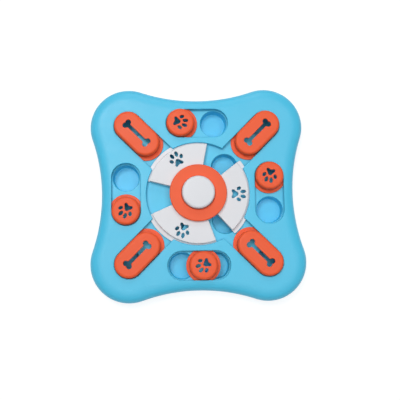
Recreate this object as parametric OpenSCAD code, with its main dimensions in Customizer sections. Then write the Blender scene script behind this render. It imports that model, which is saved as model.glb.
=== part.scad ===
// Dog puzzle feeder toy. A pillow-shaped shell lies over a tray of treat cups.
// Round paw sliders and long bone sliders are held by their flanges between shell
// and tray, three fan covers turn about the hub, and a squeak button sits in the
// middle of the ring that holds the fans down.
// Millimetres, +Z up, origin on the floor under the middle of the toy.

/* [Body] */
// Radius of the rounded lobes
lobe_r = 45; // [42:0.5:48]
// Angle that the hollow arc of each side spans between two lobes
side_arc = 37.5; // [30:7.5:45]
// Width of the body outside a side slot, at the middle of a side
side_margin = 11.74; // [10:0.02:14]
// Height of the shell's flat top over the floor
top_z = 25.5; // [24.5:0.5:29]
// Height of the parting line between shell and tray
parting_z = 11; // [10:0.5:12]
// Height of the tray's rim over the floor
rim_z = 1.6; // [1.2:0.1:2.2]
// Thickness of the shell's wall
shell_t = 2.4; // [2:0.1:2.8]
// Thickness of the tray's wall
tray_t = 2; // [1.6:0.1:2.4]
// Large radius of the shell's edge, where it leaves the flat top
crown_r = 26; // [20:1:32]
// Small radius of the shell's edge, over its side
shoulder_r = 9; // [8:0.5:10]
// Angle over which the large radius runs
crown_angle = 20; // [14:1:24]

/* [Deck and cups] */
// Height of the gap between deck and shell, where the flanges slide
slide_gap = 3.6; // [3.4:0.1:4.2]
// Thickness of the deck
deck_t = 1.8; // [1.5:0.1:2.4]
// Inner radius of a treat cup
cup_r = 15.5; // [13.5:0.25:15.75]
// Depth of a treat cup under the deck
cup_depth = 13; // [9:0.5:13.5]
// Wall of a treat cup
cup_wall = 1.6; // [1.2:0.1:1.8]
// Amount by which a cup is narrower at its floor than at its rim
cup_draft = 1.6; // [0.5:0.1:2.5]
// Radius between a cup's wall and its floor
cup_fillet = 2.5; // [1:0.5:4]
// Gap between the walls of the two cups of a side slot
cup_gap = 4.8; // [3:0.1:7]
// Distance of the bone sliders' cups outside the lobes' centres
bone_cup_shift = 0.46; // [0:0.02:1]
// Gap between the hub and the cups under the fans
fan_cup_gap = 3; // [2.5:0.25:4]
// Thickness of the ribs under the deck
rib_t = 1.6; // [1.2:0.1:2]
// Height of the ribs under the deck
rib_h = 7; // [4:0.5:8]

/* [Sliders] */
// Lap of a cap over the rim of its cup
cap_lap = 0.8; // [0.5:0.1:1.2]
// Gap between a bone slider's cap and the recess of the fans
bone_inset = 9; // [8:0.1:12]
// Height of the caps over the shell
cap_rise = 6.5; // [4:0.5:8]
// Wall of a cap
cap_wall = 2; // [1.6:0.1:2.4]
// Radius of a cap's top edge
cap_edge_r = 2.2; // [1:0.1:3]
// Clearance between a cap and the edge of its slot
slot_play = 0.5; // [0.2:0.05:0.6]
// Width of the shell between a side slot and the recess of the fans
slot_wall = 6.45; // [5:0.05:8]
// Width of a flange beyond its cap
flange_w = 3.6; // [2.5:0.1:4]
// Thickness of a flange
flange_t = 1.6; // [1.2:0.1:1.8]
// Length of a bone slider's flange beyond its cap at the inner end
flange_toe = 4.7; // [4:0.1:5]
// Clearance under and over the pieces that slide on the deck
run_play = 0.15; // [0.1:0.05:0.25]
// Distance of the lower paw slider's rest place from the middle of its slot
south_shift = 4.9; // [0:0.1:12]

/* [Fan covers] */
// Radius of the round recess that the fans turn in
recess_r = 60; // [59.5:0.25:60.5]
// Angle that one fan covers
fan_angle = 86.3; // [80:0.1:90]
// Gap between a fan and the edge of the recess
fan_play = 1.7; // [1:0.1:2]
// Height of the fans over the shell
fan_rise = 2.5; // [2:0.5:4]
// Wall of a fan
fan_wall = 2; // [1.6:0.1:2.4]
// Radius of a fan's outer top edge
fan_edge_r = 1.2; // [0.6:0.1:1.8]
// Width of the fans' lip, which runs under the shell
lip_w = 4.7; // [3.7:0.1:5.1]
// Thickness of the fans' lip
lip_t = 1.2; // [1:0.05:1.3]
// Distance of a fan's paw hole from the fan's outer edge
fan_paw_inset = 10.7; // [9.5:0.1:12]

/* [Hub, ring and button] */
// Outer radius of the tray's hub, which the fans turn about
hub_r = 26; // [25:0.25:26.2]
// Wall of the hub
hub_wall = 2; // [1.6:0.1:2.4]
// Underside of the hub's floor over the floor
hub_floor_z = 3.4; // [3:0.1:4]
// Lap of the ring over the fans
ring_lap = 7; // [5:0.5:10]
// Thickness of the ring
ring_t = 4.5; // [2.5:0.1:6]
// Radius of the ring's edges
ring_edge_r = 1; // [0.5:0.1:1.2]
// Clearance between the ring's tube and the hub, and between ring and fans
ring_play = 0.3; // [0.2:0.05:0.4]
// Width of the button's flange, which the ring holds down
button_flange_w = 2.3; // [2:0.1:4]
// Height of the button over the ring
button_rise = 7; // [5:0.5:9]
// Wall of the button
button_wall = 2; // [1.6:0.1:2.4]
// Radius of the button's top edge
button_edge_r = 2.6; // [1.5:0.1:4]
// Thickness of the button's flange
button_flange_t = 2; // [1.5:0.1:2.5]
// Travel of the button
button_travel = 4; // [3:0.5:4.5]
// Space that is left under the flange of the pressed button
press_play = 1.5; // [1:0.5:3]
// Wall of the ring's tube
tube_wall = 2.2; // [1.8:0.1:2.6]
// Length of the tube beside the bosses that it stands on
tube_lap = 4; // [3:0.5:6]
// Radius of the plunger under the button's top
plunger_r = 6; // [4:0.5:8]
// Gap between the squeaker bulb and the button round it
bulb_gap = 1.9; // [1.7:0.1:4]
// Wall of the squeaker bulb
bulb_wall = 1.2; // [0.8:0.1:1.6]
// Folds of the squeaker bulb
bulb_folds = 4; // [3:1:5]
// Depth of the bulb's folds
fold_depth = 2.2; // [1.5:0.1:2.6]
// Drop from the button's flange to the top of the bulb
bulb_drop = 2.2; // [1.5:0.1:3]
// Radius of the reed plug in the bulb's floor
reed_r = 4; // [3:0.1:5]
// Radius of the air hole through the reed plug
reed_hole_r = 1.5; // [1:0.1:2]
// Length of the reed plug above the bulb's floor
reed_rise = 3; // [2:0.5:4]
// Length of the reed plug below the hub's floor
reed_drop = 0.4; // [0.2:0.1:0.8]

/* [Cut-outs] */
// Size of the paw holes, from the pad's heel to the tips of the toes
paw_size = 15; // [12:0.1:16]
// Length of the bone holes
bone_hole_len = 38; // [30:0.5:40]
// Width of the bone holes across their knuckles
bone_hole_w = 11.2; // [9:0.1:12]
// Width of the bone holes' shaft
bone_shaft_w = 4.3; // [3:0.1:5]

/* [Feet and screws] */
// Radius of a rubber foot
foot_r = 8; // [6:0.5:8.5]
// Height of a rubber foot
foot_h = 3; // [2.6:0.1:4]
// Bevel of a rubber foot
foot_bevel = 0.8; // [0.4:0.1:1.2]
// Gap between the wall round a foot and the tray's rim
foot_gap = 1.45; // [0.5:0.05:3]
// Distance of the shell's screws outside the middle line of their side slot
screw_shift = 13.75; // [12:0.25:15]
// Gap between the bosses of the shell's screws and a bone slider's flange
screw_gap = 4.55; // [2:0.05:6]
// Radius of the screws' shafts
screw_r = 1.35; // [1.1:0.05:1.5]
// Radius of the screws' heads
screw_head_r = 3; // [2.4:0.1:3.2]
// Height of the screws' heads
screw_head_h = 1.6; // [1.2:0.1:1.7]
// Wall round a screw
boss_wall = 2.2; // [1.8:0.1:2.4]
// Clearance of a screw in the piece under its head
screw_play = 0.3; // [0.2:0.05:0.4]
// Clearance of a screw in its pilot hole
thread_play = 0.03; // [0.02:0.01:0.05]
// Space past the tip of a screw
tip_play = 1; // [0.5:0.1:1.5]
// Height of the seats of the shell's screws over the floor
shell_boss_z = 8; // [6:0.5:10]
// Length of the cross recess in a screw's head
cross_len = 3.3; // [2.4:0.1:3.6]
// Width of the cross recess in a screw's head
cross_w = 0.7; // [0.5:0.1:0.9]
// Radius of the ring's bosses
hub_boss_r = 2.9; // [2.6:0.1:3.2]
// Length of the ring's screws in their bosses
hub_thread = 9; // [6:0.5:11]
// Wall round a rubber foot
foot_wall = 2; // [1.5:0.1:2.5]
// Thickness of the plate over a rubber foot
foot_plate_t = 1.6; // [1.2:0.1:2]

/* [Hidden] */

$fn = 96;
eps = 0.01;      // overlap where solids are joined or cut through
cut = 1;         // reach of a cut past the face that it leaves by
arc_steps = 8;   // straight steps in a quarter of a profile's round edge
plate_lap = 8;   // reach of the flat plates past the lobes' centres
seam_lap = 4e-5; // overlap of the wedges that the body is swept in
side_facets = 100; // facets of the side arcs, unmatched with the lobes' so that none are slivers
tuck_part = 0.55;  // drop of the tray's inner corner, as a part of the tuck's radius
grid = 0.05;     // step of the places that are worked out from other sizes
knuckle_part = 0.28; // radius of a bone hole's knuckles, as a part of its width
body_blue = [0.38, 0.78, 0.93];
cover_orange = [0.96, 0.39, 0.24];
cover_white = [0.9, 0.9, 0.92];
bulb_cream = [0.93, 0.9, 0.8];
foot_grey = [0.25, 0.27, 0.3];
screw_steel = [0.7, 0.71, 0.73];

// Heights
shell_under = top_z - shell_t;
deck_z = shell_under - slide_gap;
deck_under = deck_z - deck_t;
deck_mid_z = deck_z - deck_t / 2;
cup_floor_z = deck_z - cup_depth;
slide_z = deck_z + run_play;
flange_z = slide_z + flange_t;
cap_z = top_z + cap_rise;
lip_z = shell_under - 2 * run_play - lip_t;
fan_z = top_z + fan_rise;
ring_z = fan_z + ring_play;
ring_top = ring_z + ring_t;
button_top = ring_top + button_rise;
hub_floor_top = hub_floor_z + tray_t;

// A worked-out place, to a twentieth of a millimetre, so that pieces that meet share it
function to_grid(x) = round(x / grid) * grid;

// Cups, slots and sliders
cap_r = cup_r + cap_lap;
slot_r = cap_r + slot_play;
slot_row = recess_r + slot_wall + slot_r;
cup_pitch = 2 * (cup_r + cup_wall) + cup_gap;
fan_cup_row = hub_r + fan_cup_gap + cup_r;
paw_flange_r = cap_r + flange_w;

// Plan of the body: lobe arcs that run into hollow side arcs, outside the side slots
side_y = slot_row + slot_r + side_margin;
lobe_centre = to_grid((side_y - lobe_r) / (1 - tan(side_arc / 4)));
lobe_row = sqrt(2) * lobe_centre;
side_r = lobe_centre / sin(side_arc / 2) - lobe_r;
side_centre = lobe_centre + lobe_centre / tan(side_arc / 2);

// The shell's edge: height of the shoulder's centre, and width of the whole edge
shoulder_z = top_z - crown_r + (crown_r - shoulder_r) * cos(crown_angle);
edge_w = shoulder_r + (crown_r - shoulder_r) * sin(crown_angle);
tuck_r = parting_z - rim_z;
tuck_angle = 60;
tuck_in = tuck_r * (1 - cos(tuck_angle));

// Cups: lean of the wall, and distance of the fillet's centre from the axis
cup_lean = atan(cup_draft / cup_depth);
cup_fillet_x = cup_r - cup_draft + cup_fillet * (tan(cup_lean) - 1 / cos(cup_lean));

// Bone sliders, from their cups in the lobes to the recess
bone_cup_row = to_grid(lobe_row + bone_cup_shift);
bone_out = bone_cup_row + cap_r;
bone_in = recess_r + bone_inset;
bone_flange_out = bone_cup_row + paw_flange_r;
bone_flange_in = bone_in - flange_toe;

// One row for each side slot: turn of the side, rest place along it, turn of the paw
SIDES = [
    [0, -cup_pitch / 2, 0],
    [90, -cup_pitch / 2, 145],
    [180, -south_shift, 25],
    [270, -cup_pitch / 2, 0]];
DIAGONALS = [45, 135, 225, 315];
// Rest places of the fans' middle lines
FAN_ANGLES = [122, 246.6, 354.8];

// Hub, ring, button and screws
fan_r = recess_r - fan_play;
lip_r = fan_r + lip_w;
fan_paw_row = fan_r - fan_paw_inset;
ring_r = hub_r + ring_lap;
fan_bore_r = hub_r + ring_play;
tube_r = hub_r - hub_wall - ring_play;
tube_bore_r = tube_r - tube_wall;
button_flange_r = tube_bore_r - ring_play;
button_r = button_flange_r - button_flange_w;
bulb_r = button_r - button_wall - bulb_gap;
button_flange_z = ring_z - run_play - button_flange_t;
ring_hole_r = button_r + ring_play;
screw_hole_r = screw_r + screw_play;
pilot_r = screw_r + thread_play;
boss_r = screw_hole_r + boss_wall;
foot_boss_r = foot_r + foot_wall;
foot_row = to_grid(lobe_row + lobe_r - tuck_in - tray_t - foot_gap - foot_boss_r);
screw_across = slot_row + screw_shift;
screw_along = to_grid(screw_across - sqrt(2) * (paw_flange_r + screw_gap + boss_r));
hub_boss_row = tube_r - hub_boss_r - tube_wall / 2;
hub_boss_top = button_flange_z - button_travel - press_play;
bulb_top = button_flange_z - bulb_drop;
bulb_fold = (bulb_top - hub_floor_top) / bulb_folds;

module at_side(turn) { rotate([0, 0, turn]) translate([0, slot_row, 0]) children(); }

function arc(cx, cy, r, a0, a1, steps = arc_steps) =
    [for (i = [0 : steps]) let (a = a0 + (a1 - a0) * i / steps)
        [cx + r * cos(a), cy + r * sin(a)]];

// A section given as distance in from the outline, and height, swept round the body.
// Each wedge of the sweep ends on lines from the lobes' centres to a side arc's centre,
// and a flat plate joins the wedges inside the edge.
module sweep_round_body(section, plate_z, plate_t) {
    for (side = SIDES) rotate([0, 0, side[0]]) {
        intersection() {
            translate([lobe_centre, lobe_centre, 0])
                rotate_extrude() polygon([for (p = section) [lobe_r - p[0], p[1]]]);
            linear_extrude(2 * top_z) polygon([[lobe_centre, lobe_centre], [side_centre, 0],
                [side_centre, side_centre], [0, side_centre]]);
        }
        intersection() {
            translate([0, side_centre, 0])
                rotate_extrude($fn = side_facets) polygon([for (p = section) [side_r + p[0], p[1]]]);
            linear_extrude(2 * top_z) polygon([[0, side_centre],
                [-lobe_centre - seam_lap, lobe_centre], [-lobe_centre, lobe_centre - plate_lap],
                [lobe_centre, lobe_centre - plate_lap], [lobe_centre + seam_lap, lobe_centre]]);
        }
    }
    translate([0, 0, plate_z]) linear_extrude(plate_t)
        square(2 * (lobe_centre + plate_lap), center = true);
}

// A long hole or block with round ends, along X, from x0 to x1 between the ends' centres
module stadium(x0, x1, r, z0, z1) {
    translate([x0, -r, z0]) cube([x1 - x0, 2 * r, z1 - z0]);
    translate([x1, 0, z0]) rotate_extrude(angle = 180, start = -90) square([r, z1 - z0]);
    translate([x0, 0, z0]) rotate_extrude(angle = 180, start = 90) square([r, z1 - z0]);
}

// The same block from a half section [distance from the middle line, height]
module round_ended(x0, x1, section) {
    translate([x0, 0, 0]) rotate([90, 0, 90]) linear_extrude(x1 - x0)
        polygon(concat(section, [for (i = [len(section) - 1 : -1 : 0])
            if (section[i][0] > 0) [-section[i][0], section[i][1]]]));
    translate([x1, 0, 0]) rotate_extrude(angle = 180, start = -90) polygon(section);
    translate([x0, 0, 0]) rotate_extrude(angle = 180, start = 90) polygon(section);
}

// ---- Cut-outs ----

module toe(x, y, rx, ry, turn) {
    translate([x, y]) rotate(turn)
        polygon([for (a = [0 : 20 : 340]) [rx * cos(a), ry * sin(a)]]);
}

// Paw print, toes towards +Y, one unit from heel to toe tips, centred
module paw_print() {
    translate([0, -0.225]) polygon([for (a = [0 : 12 : 348])
        let (r = 0.265 + 0.05 * cos(3 * (a - 90)))
            [1.1 * r * cos(a), 0.95 * r * sin(a)]]);
    for (m = [-1, 1]) {
        toe(m * 0.175, 0.325, 0.115, 0.17, m * -8);
        toe(m * 0.415, 0.045, 0.11, 0.16, m * -28);
    }
}

module paw_hole(size, z0, z1) {
    translate([0, 0, z0]) linear_extrude(z1 - z0) scale(size) paw_print();
}

// Bone outline along X: a shaft with two knuckles at each end
module bone_hole(z0, z1) {
    knuckle_r = bone_hole_w * knuckle_part;
    knuckle_x = bone_hole_len / 2 - knuckle_r;
    translate([0, 0, z0]) linear_extrude(z1 - z0) {
        square([2 * knuckle_x, bone_shaft_w], center = true);
        for (x = [-1, 1], y = [-1, 1])
            translate([x * knuckle_x, y * (bone_hole_w / 2 - knuckle_r)]) circle(knuckle_r, $fn = 32);
    }
}

// ---- Shell ----

function shell_points() = concat(
    [[0, parting_z]],
    arc(shoulder_r, shoulder_z, shoulder_r, 180, 90 + crown_angle),
    arc(edge_w, top_z - crown_r, crown_r, 90 + crown_angle, 90, 4),
    [[lobe_r, top_z], [lobe_r, shell_under]],
    arc(edge_w, top_z - crown_r, crown_r - shell_t, 90, 90 + crown_angle, 4),
    arc(shoulder_r, shoulder_z, shoulder_r - shell_t, 90 + crown_angle, 180),
    [[shell_t, parting_z]]);

module shell_cuts() {
    z0 = parting_z;
    z1 = top_z + cut;
    translate([0, 0, z0]) cylinder(r = recess_r, h = z1 - z0);
    for (side = SIDES) at_side(side[0])
        stadium(-cup_pitch / 2, cup_pitch / 2, slot_r, z0, z1);
    for (turn = DIAGONALS) rotate([0, 0, turn])
        stadium(0, bone_cup_row, slot_r, z0, z1);
}

// Places of the shell's screws, two beside each side slot
module at_shell_screws() {
    for (side = SIDES, m = [-1, 1]) rotate([0, 0, side[0]])
        translate([m * screw_along, screw_across, 0]) children();
}

module top_shell() color(body_blue) difference() {
    union() {
        sweep_round_body(shell_points(), shell_under, shell_t);
        at_shell_screws() translate([0, 0, deck_z])
            cylinder(r = boss_r, h = slide_gap + shell_t / 2, $fn = 32);
    }
    shell_cuts();
    at_shell_screws() translate([0, 0, deck_z - eps])
        cylinder(r = pilot_r, h = slide_gap + shell_t / 2, $fn = 24);
}

// ---- Tray ----

function tray_points() =
    let (wall_s = shell_t + ring_play,
        outer_r = shoulder_r - wall_s,
        inner_r = outer_r - tray_t,
        outer_a = asin((deck_z - shoulder_z) / outer_r),
        inner_a = asin((deck_under - shoulder_z) / inner_r))
    concat(
        [[tuck_in, rim_z]],
        arc(tuck_r, parting_z, tuck_r, 180 + tuck_angle, 180),
        [[wall_s, parting_z]],
        arc(shoulder_r, shoulder_z, outer_r, 180, 180 - outer_a, 4),
        [[lobe_r, deck_z], [lobe_r, deck_under]],
        arc(shoulder_r, shoulder_z, inner_r, 180 - inner_a, 180, 4),
        [[wall_s + tray_t, parting_z - tray_t],
        [wall_s + tray_t, parting_z - tuck_r * tuck_part],
        [tuck_in + tray_t, rim_z + tray_t],
        [tuck_in + tray_t, rim_z]]);

module at_cups() {
    for (side = SIDES, m = [-1, 1]) at_side(side[0])
        translate([m * cup_pitch / 2, 0, 0]) children();
    for (turn = DIAGONALS, row = [fan_cup_row, bone_cup_row]) rotate([0, 0, turn])
        translate([row, 0, 0]) children();
}

// Half section of a cup, grown outwards by a wall
function cup_points(wall, top) =
    let (rim_r = cup_r + wall / cos(cup_lean) + (top - deck_z) * tan(cup_lean))
    concat([[0, cup_floor_z - wall]],
        arc(cup_fillet_x, cup_floor_z + cup_fillet, cup_fillet + wall, -90, -cup_lean, 4),
        [[rim_r, top], [0, top]]);

module cup_outside() {
    rotate_extrude() polygon(cup_points(cup_wall, deck_mid_z));
}

module cup_inside() {
    rotate_extrude() polygon(cup_points(0, deck_z + deck_t));
}

// A boss that holds a rubber foot, with crossed ribs up to the deck
module foot_boss() {
    plate_top = foot_h + foot_plate_t;
    translate([0, 0, rim_z]) cylinder(r = foot_boss_r, h = plate_top - rim_z, $fn = 48);
    for (turn = [0, 90]) rotate([0, 0, turn])
        translate([-foot_boss_r, -rib_t / 2, plate_top - eps])
            cube([2 * foot_boss_r, rib_t, deck_mid_z - plate_top + eps]);
}

module tray_ribs() {
    for (turn = DIAGONALS) rotate([0, 0, turn])
        translate([hub_r - hub_wall / 2, -rib_t / 2, deck_under - rib_h])
            cube([bone_cup_row - hub_r, rib_t, rib_h + eps]);
    for (side = SIDES) at_side(side[0])
        translate([-cup_pitch / 2, -rib_t / 2, deck_under - rib_h])
            cube([cup_pitch, rib_t, rib_h + eps]);
    for (turn = DIAGONALS) rotate([0, 0, turn])
        translate([bone_cup_row + cup_r, -rib_t / 2, deck_under - rib_h])
            cube([foot_row - bone_cup_row - cup_r, rib_t, rib_h + eps]);
}

module cup_tray() color(body_blue) difference() {
    union() {
        sweep_round_body(tray_points(), deck_under, deck_t);
        at_cups() cup_outside();
        tray_ribs();
        for (turn = DIAGONALS) rotate([0, 0, turn]) translate([foot_row, 0, 0]) foot_boss();
        at_shell_screws() translate([0, 0, shell_boss_z])
            cylinder(r = boss_r, h = deck_mid_z - shell_boss_z, $fn = 32);
        translate([0, 0, hub_floor_z]) cylinder(r = hub_r, h = ring_z - hub_floor_z);
    }
    at_cups() cup_inside();
    for (turn = DIAGONALS) rotate([0, 0, turn]) translate([foot_row, 0, -eps])
        cylinder(r = foot_r + run_play, h = foot_h + eps, $fn = 48);
    at_shell_screws() translate([0, 0, shell_boss_z - eps])
        cylinder(r = screw_hole_r, h = deck_z - shell_boss_z + cut, $fn = 24);
    translate([0, 0, hub_floor_top])
        cylinder(r = hub_r - hub_wall, h = ring_z - hub_floor_top + cut);
    at_hub_screws() translate([0, 0, hub_floor_z - eps])
        cylinder(r = screw_hole_r, h = tray_t + 2 * eps, $fn = 24);
    translate([0, 0, hub_floor_z - eps])
        cylinder(r = reed_r + run_play, h = tray_t + 2 * eps, $fn = 48);
}

// ---- Sliders ----

// Half section of a cap on its flange, hollow and open below
function cap_points(flange_half) = concat(
    [[cap_r - cap_wall, slide_z], [flange_half, slide_z], [flange_half, flange_z],
    [cap_r, flange_z]],
    arc(cap_r - cap_edge_r, cap_z - cap_edge_r, cap_edge_r, 0, 90, 6),
    [[0, cap_z], [0, cap_z - cap_wall], [cap_r - cap_wall, cap_z - cap_wall]]);

module paw_slider(side) color(cover_orange) at_side(side[0]) translate([side[1], 0, 0])
    difference() {
        rotate_extrude() polygon(cap_points(paw_flange_r));
        rotate([0, 0, side[2] - 90]) paw_hole(paw_size, cap_z - cap_wall - cut, cap_z + cut);
    }

module bone_slider(turn) color(cover_orange) rotate([0, 0, turn]) difference() {
    union() {
        round_ended(bone_in + cap_r, bone_out - cap_r, concat([[0, flange_z]],
            [[cap_r, flange_z]],
            arc(cap_r - cap_edge_r, cap_z - cap_edge_r, cap_edge_r, 0, 90, 6),
            [[0, cap_z]]));
        stadium(bone_flange_in + paw_flange_r, bone_flange_out - paw_flange_r,
            paw_flange_r, slide_z, flange_z + eps);
    }
    stadium(bone_in + cap_r, bone_out - cap_r, cap_r - cap_wall,
        slide_z - cut, cap_z - cap_wall);
    translate([(bone_in + bone_out) / 2, 0, 0]) bone_hole(cap_z - cap_wall - cut, cap_z + cut);
}

// ---- Fan covers ----

// Outer half section of a fan: bore, top with a round edge, outer wall and lip
function fan_points() = concat(
    [[fan_bore_r, slide_z], [fan_bore_r, fan_z]],
    arc(fan_r - fan_edge_r, fan_z - fan_edge_r, fan_edge_r, 90, 0, 4),
    [[fan_r, lip_z + lip_t], [lip_r, lip_z + lip_t], [lip_r, lip_z], [fan_r, lip_z],
    [fan_r, slide_z]]);

module fan_cover(turn) color(cover_white) rotate([0, 0, turn]) {
    half = fan_angle / 2;
    shift = fan_wall / sin(half);
    reach = 2 * recess_r;
    difference() {
        rotate_extrude(angle = fan_angle, start = -half) polygon(fan_points());
        intersection() {
            translate([0, 0, slide_z - cut]) linear_extrude(fan_z - fan_wall - slide_z + cut)
                polygon([[shift, 0], [shift + reach * cos(half), -reach * sin(half)],
                    [shift + reach * cos(half), reach * sin(half)]]);
            difference() {
                translate([0, 0, slide_z - 2 * cut]) cylinder(r = fan_r - fan_wall, h = fan_z);
                translate([0, 0, slide_z - 3 * cut])
                    cylinder(r = fan_bore_r + fan_wall, h = fan_z + 2 * cut);
            }
        }
        translate([fan_paw_row, 0, 0]) rotate([0, 0, -90])
            paw_hole(paw_size, fan_z - fan_wall - cut, fan_z + cut);
    }
}

// ---- Ring, button and squeaker ----

module at_hub_screws() {
    for (turn = [30, 150, 270]) rotate([0, 0, turn]) translate([hub_boss_row, 0, 0]) children();
}

module hub_ring() color(cover_orange) difference() {
    union() {
        rotate_extrude() polygon(concat(
            [[ring_hole_r, ring_z], [ring_hole_r, ring_top - ring_edge_r]],
            arc(ring_hole_r + ring_edge_r, ring_top - ring_edge_r, ring_edge_r, 180, 90, 3),
            arc(ring_r - ring_edge_r, ring_top - ring_edge_r, ring_edge_r, 90, 0, 4),
            [[ring_r, ring_z]]));
        rotate_extrude() translate([tube_bore_r, hub_boss_top - tube_lap])
            square([tube_wall, ring_z - hub_boss_top + tube_lap + eps]);
        at_hub_screws() translate([0, 0, hub_floor_top])
            cylinder(r = hub_boss_r, h = hub_boss_top - hub_floor_top, $fn = 32);
    }
    at_hub_screws() translate([0, 0, hub_floor_top - eps])
        cylinder(r = pilot_r, h = hub_thread + tip_play, $fn = 24);
}

// A hollow cap with a flange below, and a plunger that presses the bulb
module squeak_button() color(cover_white) {
    inner_r = button_r - button_wall;
    under = button_top - button_wall;
    flange_top = button_flange_z + button_flange_t;
    rotate_extrude() polygon(concat(
        [[inner_r, button_flange_z], [button_flange_r, button_flange_z],
        [button_flange_r, flange_top], [button_r, flange_top]],
        arc(button_r - button_edge_r, button_top - button_edge_r, button_edge_r, 0, 90, 6),
        [[0, button_top], [0, bulb_top], [plunger_r, bulb_top], [plunger_r, under],
        [inner_r, under]]));
}

// A bellows bulb: a zigzag wall between a floor and a top
module squeaker_bulb() color(bulb_cream) {
    waist_r = bulb_r - fold_depth;
    slant_wall = bulb_wall * norm([fold_depth, bulb_fold / 2]) / (bulb_fold / 2);
    outer = [for (i = [0 : bulb_folds - 1], k = [0, 1])
        [waist_r + k * fold_depth, hub_floor_top + bulb_fold * (i + k / 2)]];
    inner = [for (i = [bulb_folds - 1 : -1 : 0], k = [1, 0])
        [waist_r + k * fold_depth - slant_wall,
        max(hub_floor_top + bulb_wall, hub_floor_top + bulb_fold * (i + k / 2))]];
    rotate_extrude() polygon(concat([[reed_r, hub_floor_top]], outer,
        [[waist_r, bulb_top], [0, bulb_top], [0, bulb_top - bulb_wall],
        [waist_r - slant_wall, bulb_top - bulb_wall]],
        inner, [[reed_r, hub_floor_top + bulb_wall]]));
}

// The squeaker's reed plug, pushed into the bulb from below
module squeaker_reed() color(cover_white) translate([0, 0, hub_floor_z - reed_drop])
    rotate_extrude($fn = 48) translate([reed_hole_r, 0])
        square([reed_r - reed_hole_r, reed_drop + tray_t + bulb_wall + reed_rise]);

// ---- Screws and feet ----

// A pan-head screw, head down, with its seat at z = 0
module screw(length) {
    translate([0, 0, -screw_head_h]) difference() {
        cylinder(r = screw_head_r, h = screw_head_h, $fn = 32);
        for (turn = [0, 90]) rotate([0, 0, turn])
            translate([-cross_len / 2, -cross_w / 2, -eps])
                cube([cross_len, cross_w, screw_head_h / 2]);
    }
    translate([0, 0, -eps]) cylinder(r = screw_r, h = length, $fn = 24);
}

module shell_screws() color(screw_steel)
    at_shell_screws() translate([0, 0, shell_boss_z])
        screw(shell_under - shell_boss_z);

module hub_screws() color(screw_steel)
    at_hub_screws() translate([0, 0, hub_floor_z]) screw(tray_t + hub_thread);

module foot(turn) color(foot_grey) rotate([0, 0, turn]) translate([foot_row, 0, 0])
    rotate_extrude($fn = 48) polygon([[0, 0], [foot_r - foot_bevel, 0], [foot_r, foot_bevel],
        [foot_r, foot_h], [0, foot_h]]);

top_shell();
cup_tray();
paw_slider(SIDES[0]);  // paw_slider_north
paw_slider(SIDES[1]);  // paw_slider_west
paw_slider(SIDES[2]);  // paw_slider_south
paw_slider(SIDES[3]);  // paw_slider_east
bone_slider(DIAGONALS[0]);  // bone_slider_northeast
bone_slider(DIAGONALS[1]);  // bone_slider_northwest
bone_slider(DIAGONALS[2]);  // bone_slider_southwest
bone_slider(DIAGONALS[3]);  // bone_slider_southeast
fan_cover(FAN_ANGLES[0]);  // fan_cover_northwest
fan_cover(FAN_ANGLES[1]);  // fan_cover_southwest
fan_cover(FAN_ANGLES[2]);  // fan_cover_east
hub_ring();
squeak_button();
squeaker_bulb();
squeaker_reed();
shell_screws();
hub_screws();
foot(DIAGONALS[0]);  // foot_northeast
foot(DIAGONALS[1]);  // foot_northwest
foot(DIAGONALS[2]);  // foot_southwest
foot(DIAGONALS[3]);  // foot_southeast
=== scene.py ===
"""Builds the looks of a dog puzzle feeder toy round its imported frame.

A pillow-shaped shell lies over a tray of treat cups. Round and bone sliders and three
fan covers run between them, and a squeak button sits in the ring over the hub.
Lengths are metres, +Z is up, and the origin is on the floor under the middle.
"""

import math

import bmesh
import bpy
import numpy as np
from mathutils import Matrix, Quaternion, Vector
from mathutils.geometry import delaunay_2d_cdt


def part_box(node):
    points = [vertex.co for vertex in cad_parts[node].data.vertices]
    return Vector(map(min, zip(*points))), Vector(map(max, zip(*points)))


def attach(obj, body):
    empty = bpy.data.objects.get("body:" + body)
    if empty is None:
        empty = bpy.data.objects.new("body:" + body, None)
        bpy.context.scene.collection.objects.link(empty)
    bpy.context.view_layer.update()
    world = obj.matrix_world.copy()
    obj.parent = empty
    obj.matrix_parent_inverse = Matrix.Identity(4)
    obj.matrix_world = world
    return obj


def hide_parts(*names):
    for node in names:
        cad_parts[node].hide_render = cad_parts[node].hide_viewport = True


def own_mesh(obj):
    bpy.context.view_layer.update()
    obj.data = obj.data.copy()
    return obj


bl_info = {
    "name": "Dog Puzzle Feeder",
    "version": (1, 0, 0),
    "blender": (4, 5, 0),
    "location": "View3D > Sidebar > Feeder",
    "description": "Builds a dog puzzle feeder toy piece by piece",
    "category": "Object",
}

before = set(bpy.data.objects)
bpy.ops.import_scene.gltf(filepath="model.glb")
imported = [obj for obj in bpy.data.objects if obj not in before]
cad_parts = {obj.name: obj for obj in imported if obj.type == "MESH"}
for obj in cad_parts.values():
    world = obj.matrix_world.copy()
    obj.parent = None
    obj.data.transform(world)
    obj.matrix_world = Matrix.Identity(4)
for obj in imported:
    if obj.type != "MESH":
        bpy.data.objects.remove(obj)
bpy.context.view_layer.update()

MM = 0.001
WHITE = (1, 1, 1, 1)
BASE = "tray_and_shell"

# Directions from the middle, in degrees from +X: of the sides, of the lobes, of the fans, of
# the fans' paw holes and of the ring's screws. PAWS says where the toes of the round sliders'
# paw holes point.
QUARTERS = (0, 90, 180, 270)
DIAGONALS = (45, 135, 225, 315)
CORNERS = dict(zip(("northeast", "northwest", "southwest", "southeast"), DIAGONALS))
FANS = {"northwest": 122, "southwest": 246.6, "east": 354.8}
FAN_PAWS = {"northwest": 121.4, "southwest": 246.3, "east": 358.1}
HUB_SCREWS = (30, 150, 270)
PAWS = {"north": -12, "west": 236, "south": 213, "east": 255}

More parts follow.
